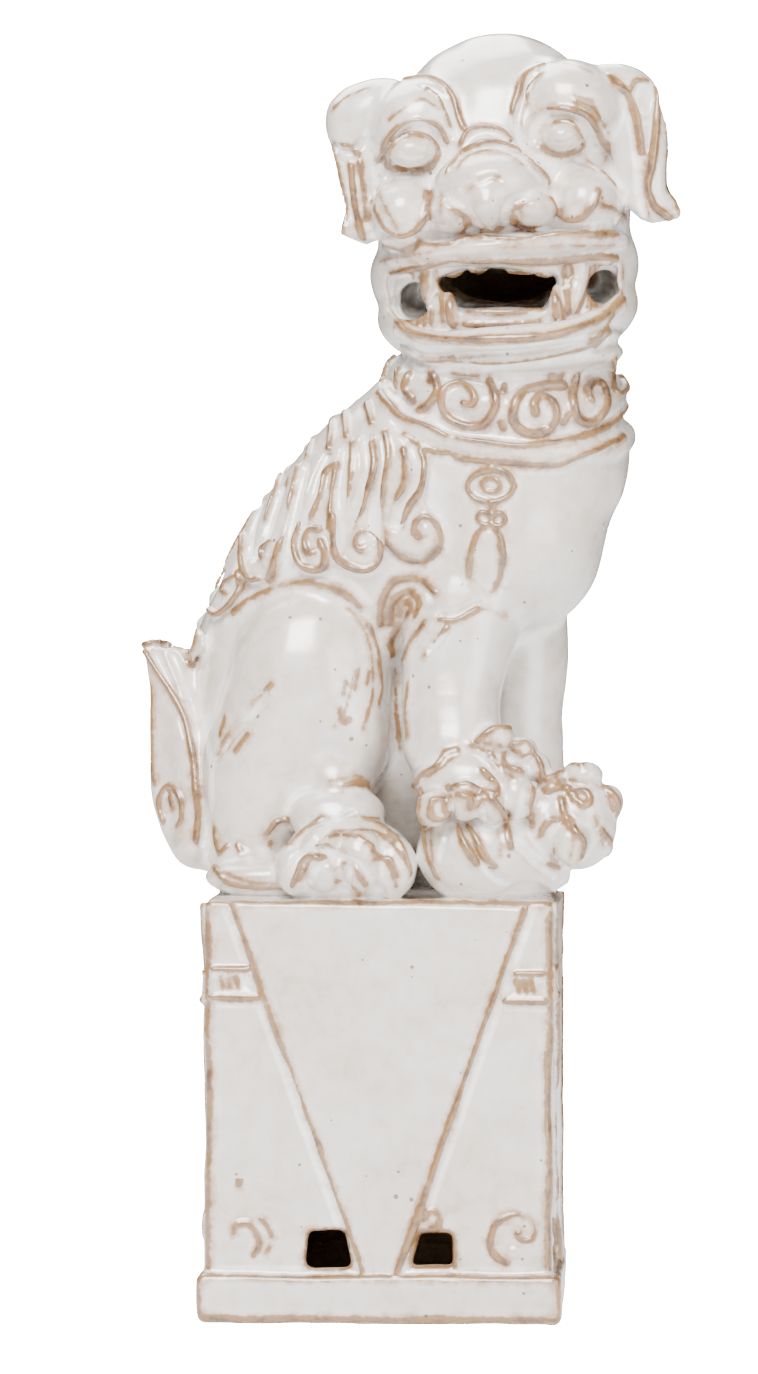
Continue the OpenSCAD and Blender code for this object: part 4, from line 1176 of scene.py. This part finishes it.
plume = together(tail, torso, right_haunch, soft=2)
rear = Board(depth=10, eye=eye)
tail.creases(plume, rear, (
    ([1.3], [(-70, 200), (-66, 192), (-62.5, 184), (-60, 175)]),
    ([1.6], [(-64.5, 200), (-59.5, 188), (-54.6, 175), (-52.6, 165), (-53.4, 152), (-55, 143)])))
tail.ridges(plume, rear, (
    ([0.9, 1.2, 1.0], [(-73, 201), (-70, 196), (-65, 188.5), (-61, 181), (-59, 172), (-58, 165),
                       (-57.5, 158), (-57, 150), (-57.5, 143)]),
    ([0.8], [(-73.4, 203), (-68, 204), (-62, 203)]),
    ([0.9], [(-67.5, 149), (-68.8, 154.5), (-67.2, 158.8), (-64.5, 159.7), (-62.2, 155.6),
             (-62, 150.6), (-63.2, 147.4)]),
    ([0.8], [(-65.4, 156.6), (-64.4, 152.8)]),
    ([0.6], [(-71.4, 190), (-71.2, 180), (-71.2, 170), (-70, 160)])), show=1.15)

for original, node in ((right_haunch, "left_haunch"), (right_hind_paw, "left_hind_paw"),
                       (right_mane, "left_mane")):
    twin(original, node)


# ---- Luting and firing ----
# The pieces are luted in the order made, dipped in one white glaze and fired once. The
# glaze runs thin and tan off every crest, lies thick and white in the creases, and is
# pocked with small iron-brown pinholes. The foot ring's edge is wiped bare.

start = np.min([p.start for p in pieces], 0)
count = np.max([p.start + p.count for p in pieces], 0) - start
body, nearest, second, crest, pool = [np.full(count, v, np.float32)
                                      for v in (FAR, FAR, FAR, UNMARKED, UNMARKED)]
owner = np.full(count, -1, np.int8)
for i, p in enumerate(pieces):
    p.at = tuple(slice(a, b) for a, b in zip(p.start - start, p.start - start + p.count))
    body[p.at] = soft_min(body[p.at], p.d, p.join)
    closer = p.d < nearest[p.at]
    second[p.at] = np.where(closer, nearest[p.at], np.minimum(second[p.at], p.d))
    nearest[p.at] = np.where(closer, p.d, nearest[p.at])
    owner[p.at] = np.where(closer, i, owner[p.at])
    crest[p.at] = np.minimum(crest[p.at], p.crest)
    pool[p.at] = np.minimum(pool[p.at], p.pool)


def blur(field, sigma):
    """A smoothed copy of a field. sigma is in mm."""
    sigma /= CELL
    reach = max(1, int(2.2 * sigma + 0.5))
    taps = np.exp(-0.5 * (np.arange(-reach, reach + 1) / sigma) ** 2)
    taps = (taps / taps.sum()).astype(np.float32)
    for axis in range(3):
        out = field * taps[reach]
        for k in range(1, reach + 1):
            ahead, behind = [slice(None)] * 3, [slice(None)] * 3
            ahead[axis], behind[axis] = slice(k, None), slice(None, -k)
            ahead, behind = tuple(ahead), tuple(behind)
            out[behind] += taps[reach + k] * field[ahead]
            out[ahead] += taps[reach - k] * field[behind]
            edge = [slice(None)] * 3
            for rows, kept in ((slice(None, k), 0), (slice(-k, None), -1)):
                edge[axis] = rows
                out[tuple(edge)] += taps[reach + k] * np.take(field, [kept], axis)
        field = out
    return field


def unevenness(pitch, height):
    """A hand's unevenness: smooth random swells, pitch mm apart."""
    loose = np.random.default_rng(int(pitch * 10))
    swell = loose.standard_normal(np.ceil(count * CELL / pitch).astype(int) + 2).astype(np.float32)
    for axis in range(3):
        swell = (swell + np.roll(swell, 1, axis)) / 2
    swell = swell / swell.std() * height
    for axis in range(3):
        at = np.arange(count[axis]) * CELL / pitch
        k = at.astype(int)
        t = at - k
        shape = [1, 1, 1]
        shape[axis] = -1
        t = (t * t * (3 - 2 * t)).astype(np.float32).reshape(shape)
        swell = np.take(swell, k, axis) * (1 - t) + np.take(swell, k + 1, axis) * t
    return swell


SPONGED = 0.4      # how far the wet clay was sponged smooth
FINE_BEND = 0.9    # over what width a small bend of the clay is measured
WIDE_BEND = 2.8    # and a wide one
THIN_OUT = 3       # the wide bends are measured at every third point

skin = blur(body, SPONGED)
skin += unevenness(11, 0.3)
skin += unevenness(4.5, 0.1)
bend = blur(skin, FINE_BEND) - skin    # above 0 on crests, and below it in hollows
coarse = skin[::THIN_OUT, ::THIN_OUT, ::THIN_OUT]
broad = blur(coarse, WIDE_BEND / THIN_OUT) - coarse


def read(field, points, pitch=1.0):
    """A field's values at points in mm, where the field has every pitch-th point."""
    q = np.clip(points / (CELL * pitch) - start / pitch, 0, np.array(field.shape) - 1.001)
    whole = q.astype(int)
    return between(field, whole, (q - whole).astype(np.float32))


def add_nodes(tree, steps):
    """Builds nodes in order. A step is a name, a kind, settings and inputs; an input may be
    a value, or (name, output) of an earlier node."""
    made = {}
    for name, kind, settings, inputs in steps:
        made[name] = node = tree.nodes.get(name) or tree.nodes.new(kind)
        node.name = name
        for key, value in settings.items():
            setattr(node, key, value)
        for key, value in inputs.items():
            if isinstance(value, tuple) and isinstance(value[0], str):
                tree.links.new(tree.nodes[value[0]].outputs[value[1]], node.inputs[key])
            else:
                node.inputs[key].default_value = value
    return made


def ramp(name, source, low, high):
    """A smooth step of a value from 0 at low to 1 at high."""
    return (name, "ShaderNodeMapRange", {"interpolation_type": "SMOOTHSTEP"},
            {"Value": source, "From Min": low, "From Max": high})


def sums(name, how, *values):
    """Arithmetic on two or three values."""
    return (name, "ShaderNodeMath", {"operation": how}, dict(enumerate(values)))


def tint(name, amount, below, above):
    """One colour laid over another by an amount."""
    return (name, "ShaderNodeMix", {"data_type": "RGBA"}, {0: amount, 6: below, 7: above})


def noise(name, scale, detail=3.0, rough=0.55):
    """A cloudy pattern in the statue's own space, with scale clouds to the metre."""
    return (name, "ShaderNodeTexNoise", {}, {"Vector": ("where", "Object"), "Scale": scale,
                                             "Detail": detail, "Roughness": rough})


broken = bpy.data.node_groups.new("glaze_over_relief", "ShaderNodeTree")
for way, kind, names in (
        ("INPUT", "NodeSocketFloat", ("Crest", "Pool", "Bend", "Broad", "Bare")),
        ("INPUT", "NodeSocketColor", ("Glaze", "Thick", "Thin", "Broken", "Dark", "Clay")),
        ("OUTPUT", "NodeSocketColor", ("Color",)),
        ("OUTPUT", "NodeSocketFloat", ("Roughness", "Gloss", "Height"))):
    for name in names:
        broken.interface.new_socket(name, in_out=way, socket_type=kind)
entry = broken.nodes.new("NodeGroupInput")
entry.name = "in"
add_nodes(broken, [
    ("where", "ShaderNodeTexCoord", {}, {}),
    noise("run", 420.0, 3.0, 0.6),
    noise("patch", 75.0, 3.0, 0.6),
    noise("cloud", 22.0, 3.0, 0.5),
    noise("mottle", 190.0, 4.0, 0.62),
    # how far a point is from a crest, ragged by the way the glaze ran
    sums("ragged", "MULTIPLY_ADD", ("run", "Fac"), 1.5, -0.75),
    sums("patchy", "MULTIPLY_ADD", ("patch", "Fac"), 2.0, -1.1),
    sums("edge", "ADD", ("in", "Crest"), ("ragged", 0)),
    sums("edge_2", "ADD", ("edge", 0), ("patchy", 0)),
    ramp("line", ("edge_2", 0), 1.05, 0.3),
    sums("bend_2", "MULTIPLY_ADD", ("run", "Fac"), 0.3, ("in", "Bend")),
    ramp("worn", ("bend_2", 0), 0.40, 0.62),
    sums("break", "MAXIMUM", ("line", 0), ("worn", 0)),
    ramp("core", ("edge_2", 0), 0.6, -0.4),
    # the thin pinkish halo round a break, and the thick white glaze below it
    ramp("halo", ("edge_2", 0), 2.9, 0.6),
    sums("halo_2", "MULTIPLY", ("halo", 0), ("mottle", "Fac")),
    ramp("bank", ("in", "Crest"), 3.6, 1.3),
    ramp("dip", ("in", "Pool"), 1.2, -0.3),
    ramp("hollow", ("in", "Bend"), -0.02, -0.2),
    ramp("wide_dip", ("in", "Broad"), 0.05, -0.7),
    sums("thick_1", "MAXIMUM", ("dip", 0), ("hollow", 0)),
    sums("thick_2", "MULTIPLY_ADD", ("wide_dip", 0), 0.6, ("thick_1", 0)),
    sums("thick_3", "MULTIPLY_ADD", ("bank", 0), 0.35, ("thick_2", 0)),
    ramp("cloudy", ("cloud", "Fac"), 0.42, 0.62),
    ramp("mottled", ("mottle", "Fac"), 0.42, 0.66),
    sums("thin_1", "MULTIPLY_ADD", ("mottled", 0), 0.26, ("halo_2", 0)),
    ramp("proud", ("in", "Broad"), 0.35, 1.5),
    sums("thin_2", "MULTIPLY_ADD", ("proud", 0), 0.22, ("thin_1", 0)),
    sums("thin_3", "MULTIPLY_ADD", ("cloudy", 0), 0.2, ("thin_2", 0)),
    # pinholes, in flocks
    ("pits", "ShaderNodeTexVoronoi", {}, {"Vector": ("where", "Object"), "Scale": 210.0}),
    ("chance", "ShaderNodeSeparateColor", {}, {"Color": ("pits", "Color")}),
    noise("flock", 34.0, 2.0),
    sums("flock_2", "MULTIPLY_ADD", ("flock", "Fac"), 0.9, -0.25),
    sums("few", "LESS_THAN", ("chance", 0), ("flock_2", 0)),
    sums("size", "MULTIPLY_ADD", ("chance", 1), 0.10, 0.035),
    sums("size_2", "MULTIPLY_ADD", ("run", "Fac"), 0.05, ("size", 0)),
    sums("inside", "LESS_THAN", ("pits", "Distance"), ("size_2", 0)),
    sums("pinhole", "MULTIPLY", ("few", 0), ("inside", 0)),
    # the colours, laid one over the other from the plain glaze up
    tint("c1", ("thick_3", 0), ("in", "Glaze"), ("in", "Thick")),
    tint("c2", ("thin_3", 0), ("c1", 2), ("in", "Thin")),
    tint("c3", ("break", 0), ("c2", 2), ("in", "Broken")),
    sums("core_2", "MULTIPLY", ("core", 0), ("mottled", 0)),
    tint("c4", ("core_2", 0), ("c3", 2), ("in", "Dark")),
    sums("pinhole_2", "MULTIPLY", ("pinhole", 0), 0.8),
    tint("c5", ("pinhole_2", 0), ("c4", 2), ("in", "Dark")),
    tint("c6", ("in", "Bare"), ("c5", 2), ("in", "Clay")),
    sums("matt", "MAXIMUM", ("break", 0), ("pinhole", 0)),
    sums("rough_1", "MULTIPLY_ADD", ("matt", 0), 0.24, 0.2),
    sums("rough_2", "MULTIPLY_ADD", ("mottle", "Fac"), 0.1, ("rough_1", 0)),
    sums("rough_3", "MULTIPLY_ADD", ("in", "Bare"), 0.5, ("rough_2", 0)),
    sums("gloss", "SUBTRACT", 1.0, ("in", "Bare")),
    sums("h1", "MULTIPLY_ADD", ("patch", "Fac"), 0.5, ("mottle", "Fac")),
    sums("h2", "MULTIPLY_ADD", ("pinhole", 0), -0.6, ("h1", 0)),
    sums("h3", "MULTIPLY_ADD", ("break", 0), -0.25, ("h2", 0)),
])
leave = broken.nodes.new("NodeGroupOutput")
for out, source in (("Color", ("c6", 2)), ("Roughness", ("rough_3", 0)), ("Gloss", ("gloss", 0)),
                    ("Height", ("h3", 0))):
    broken.links.new(broken.nodes[source[0]].outputs[source[1]], leave.inputs[out])

glaze = bpy.data.materials.new("white_glaze")
glaze.use_nodes = True
group = glaze.node_tree.nodes.new("ShaderNodeGroup")
group.name = "relief"
group.node_tree = broken
for name, colour in (("Glaze", (0.655, 0.61, 0.56, 1)), ("Thick", (0.95, 0.935, 0.905, 1)),
                     ("Thin", (0.45, 0.30, 0.20, 1)), ("Broken", (0.25, 0.125, 0.036, 1)),
                     ("Dark", (0.09, 0.037, 0.01, 1)), ("Clay", (0.30, 0.19, 0.10, 1))):
    group.inputs[name].default_value = colour
for name in ("crest", "pool", "bend", "broad", "bare"):
    attribute = glaze.node_tree.nodes.new("ShaderNodeAttribute")
    attribute.name, attribute.attribute_name = name, name
    glaze.node_tree.links.new(attribute.outputs["Fac"], group.inputs[name.capitalize()])
shader = glaze.node_tree.nodes["Principled BSDF"]
bump = glaze.node_tree.nodes.new("ShaderNodeBump")
bump.name = "bump"
bump.inputs["Strength"].default_value = 0.35
bump.inputs["Distance"].default_value = 0.0004
for out, node, into in (("Color", shader, "Base Color"), ("Roughness", shader, "Roughness"),
                        ("Gloss", shader, "Coat Weight"), ("Height", bump, "Height")):
    glaze.node_tree.links.new(group.outputs[out], node.inputs[into])
glaze.node_tree.links.new(bump.outputs["Normal"], shader.inputs["Normal"])
shader.inputs["Coat Roughness"].default_value = 0.23
shader.inputs["Coat IOR"].default_value = 1.75
shader.inputs["IOR"].default_value = 1.5

SEAM = 0.15         # how steeply a piece ends where its neighbour is nearer
BAND = 3.0          # the distances kept on either side of a surface
GLAZE_STOPS = 33    # how far out of the head's middle the mouth's inside is bare


def in_the_mouth(points):
    """Above 0 in the head's hollow, behind the part of the mouth that the glaze reached."""
    q = points / CELL - hollow.start
    held = ((q > 0) & (q < hollow.count - 1)).all(1)
    return np.where(held & ((points - np.array(HEAD)) @ face.axes[:, 2] < GLAZE_STOPS),
                    1.2 - hollow.sample(points), -1)


def bare_parts(points):
    """1 inside the pedestal, deep in the mouth and under the foot, where no glaze went."""
    x, y, z = points.T
    inside = np.minimum(np.minimum(HALF_X - 1.5 - np.abs(x), HALF_Y - 1.5 - np.abs(y)), TOP - 2 - z)
    foot = (0.9 - z) * 1.5
    return np.clip(np.maximum(np.maximum(inside, foot), in_the_mouth(points)), 0, 1)


for i, p in enumerate(pieces):
    others = np.where(owner[p.at] == i, second[p.at], nearest[p.at])
    f = skin[p.at] + SEAM * np.maximum(p.d - others, 0) ** 2
    grid = openvdb.FloatGrid(BAND)
    grid.copyFromArray(np.clip(f, -BAND, BAND).astype(np.float32))
    points, quads = grid.convertToQuads(0.0)
    points = (points + p.start) * CELL
    mesh = bpy.data.meshes.new(p.node)
    mesh.vertices.add(len(points))
    mesh.vertices.foreach_set("co", (points / 1000).astype(np.float32).ravel())
    mesh.loops.add(quads.size)
    mesh.loops.foreach_set("vertex_index", quads.astype(np.int32).ravel())
    mesh.polygons.add(len(quads))
    mesh.polygons.foreach_set("loop_start", np.arange(0, quads.size, 4, dtype=np.int32))
    mesh.polygons.foreach_set("use_smooth", np.ones(len(quads), bool))
    mesh.update(calc_edges=True)
    for name, values in (("crest", read(crest, points)), ("pool", read(pool, points)),
                         ("bend", read(bend, points)), ("broad", read(broad, points, THIN_OUT)),
                         ("bare", bare_parts(points))):
        mesh.attributes.new(name, "FLOAT", "POINT").data.foreach_set(
            "value", values.astype(np.float32))
    mesh.materials.append(glaze)
    piece = put(p.node + "_glazed", mesh)
    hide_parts(p.node)
    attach(piece, "root")


# ---- Floor and light ----
# A wide sheet of white studio paper, lit from the front, the side and above by three soft
# lamps. A grey card lies on the floor inside the pedestal, so that no bright paper shows in
# the vents; its grey is painted shade, darker than the paper in the pedestal's shadow.

ROOM = 9            # half the paper's width, in metres
BURNT_OUT = 40.0    # how bright the paper and the room look to the camera
CARD_LIFT = 0.0004
MIDDLE = Vector((0, 0, 0.2))    # the part of the statue that the lamps look at


def sheet(name, half_x, half_y, height):
    """A flat sheet."""
    mesh = bpy.data.meshes.new(name)
    mesh.from_pydata([(x * half_x, y * half_y, height)
                      for x, y in ((-1, -1), (1, -1), (1, 1), (-1, 1))], [], [(0, 1, 2, 3)])
    return mesh


floor_mesh = sheet("floor", ROOM, ROOM, 0)
floor = put("floor", floor_mesh)
paper = bpy.data.materials.new("studio_paper")
paper.use_nodes = True
add_nodes(paper.node_tree, [
    ("rays", "ShaderNodeLightPath", {}, {}),
    ("Principled BSDF", "", {}, {"Base Color": (0.93, 0.93, 0.93, 1), "Roughness": 0.9}),
    ("white", "ShaderNodeEmission", {}, {"Color": (1, 1, 1, 1), "Strength": BURNT_OUT}),
    ("seen", "ShaderNodeMath", {"operation": "MULTIPLY"}, {0: ("rays", "Is Camera Ray"), 1: 0.93}),
    ("both", "ShaderNodeMixShader", {}, {0: ("seen", 0), 1: ("Principled BSDF", 0), 2: ("white", 0)}),
    ("Material Output", "", {}, {"Surface": ("both", 0)})])
floor_mesh.materials.append(paper)

# The card's grey is painted shade for the floor inside the pedestal, darker than the paper there.
card_mesh = sheet("floor_under", (HALF_X - 3) / 1000, (HALF_Y - 3) / 1000, CARD_LIFT)
pad_under = put("floor_under", card_mesh)
shade_card_material = bpy.data.materials.new("painted_shade_card")
shade_card_material.use_nodes = True
add_nodes(shade_card_material.node_tree, [
    ("Principled BSDF", "", {}, {"Base Color": (0.3, 0.28, 0.26, 1), "Roughness": 0.9})])
card_mesh.materials.append(shade_card_material)

world = bpy.data.worlds.new("studio")
bpy.context.scene.world = world
world.use_nodes = True
add_nodes(world.node_tree, [
    ("rays", "ShaderNodeLightPath", {}, {}),
    ("Background", "", {}, {"Color": (1, 1, 1, 1), "Strength": 0.18}),
    ("white", "ShaderNodeBackground", {}, {"Color": (1, 1, 1, 1), "Strength": BURNT_OUT}),
    ("both", "ShaderNodeMixShader", {}, {0: ("rays", "Is Camera Ray"), 1: ("Background", 0),
                                         2: ("white", 0)}),
    ("World Output", "", {}, {"Surface": ("both", 0)})])


def softbox(name, place, width, height, power):
    """A soft lamp that looks at the statue's middle."""
    light = bpy.data.lights.new(name, "AREA")
    light.shape = "RECTANGLE"
    light.size, light.size_y, light.energy = width, height, power
    lamp = put(name, light)
    lamp.location = place
    lamp.rotation_euler = (MIDDLE - Vector(place)).to_track_quat("-Z", "Y").to_euler()


softbox("key", (-0.25, -1.25, 1.4), 1.0, 0.9, 88)
softbox("fill", (1.2, -1.1, 0.6), 1.1, 1.2, 24)
softbox("top", (-0.25, 0.55, 1.3), 1.1, 0.9, 30)
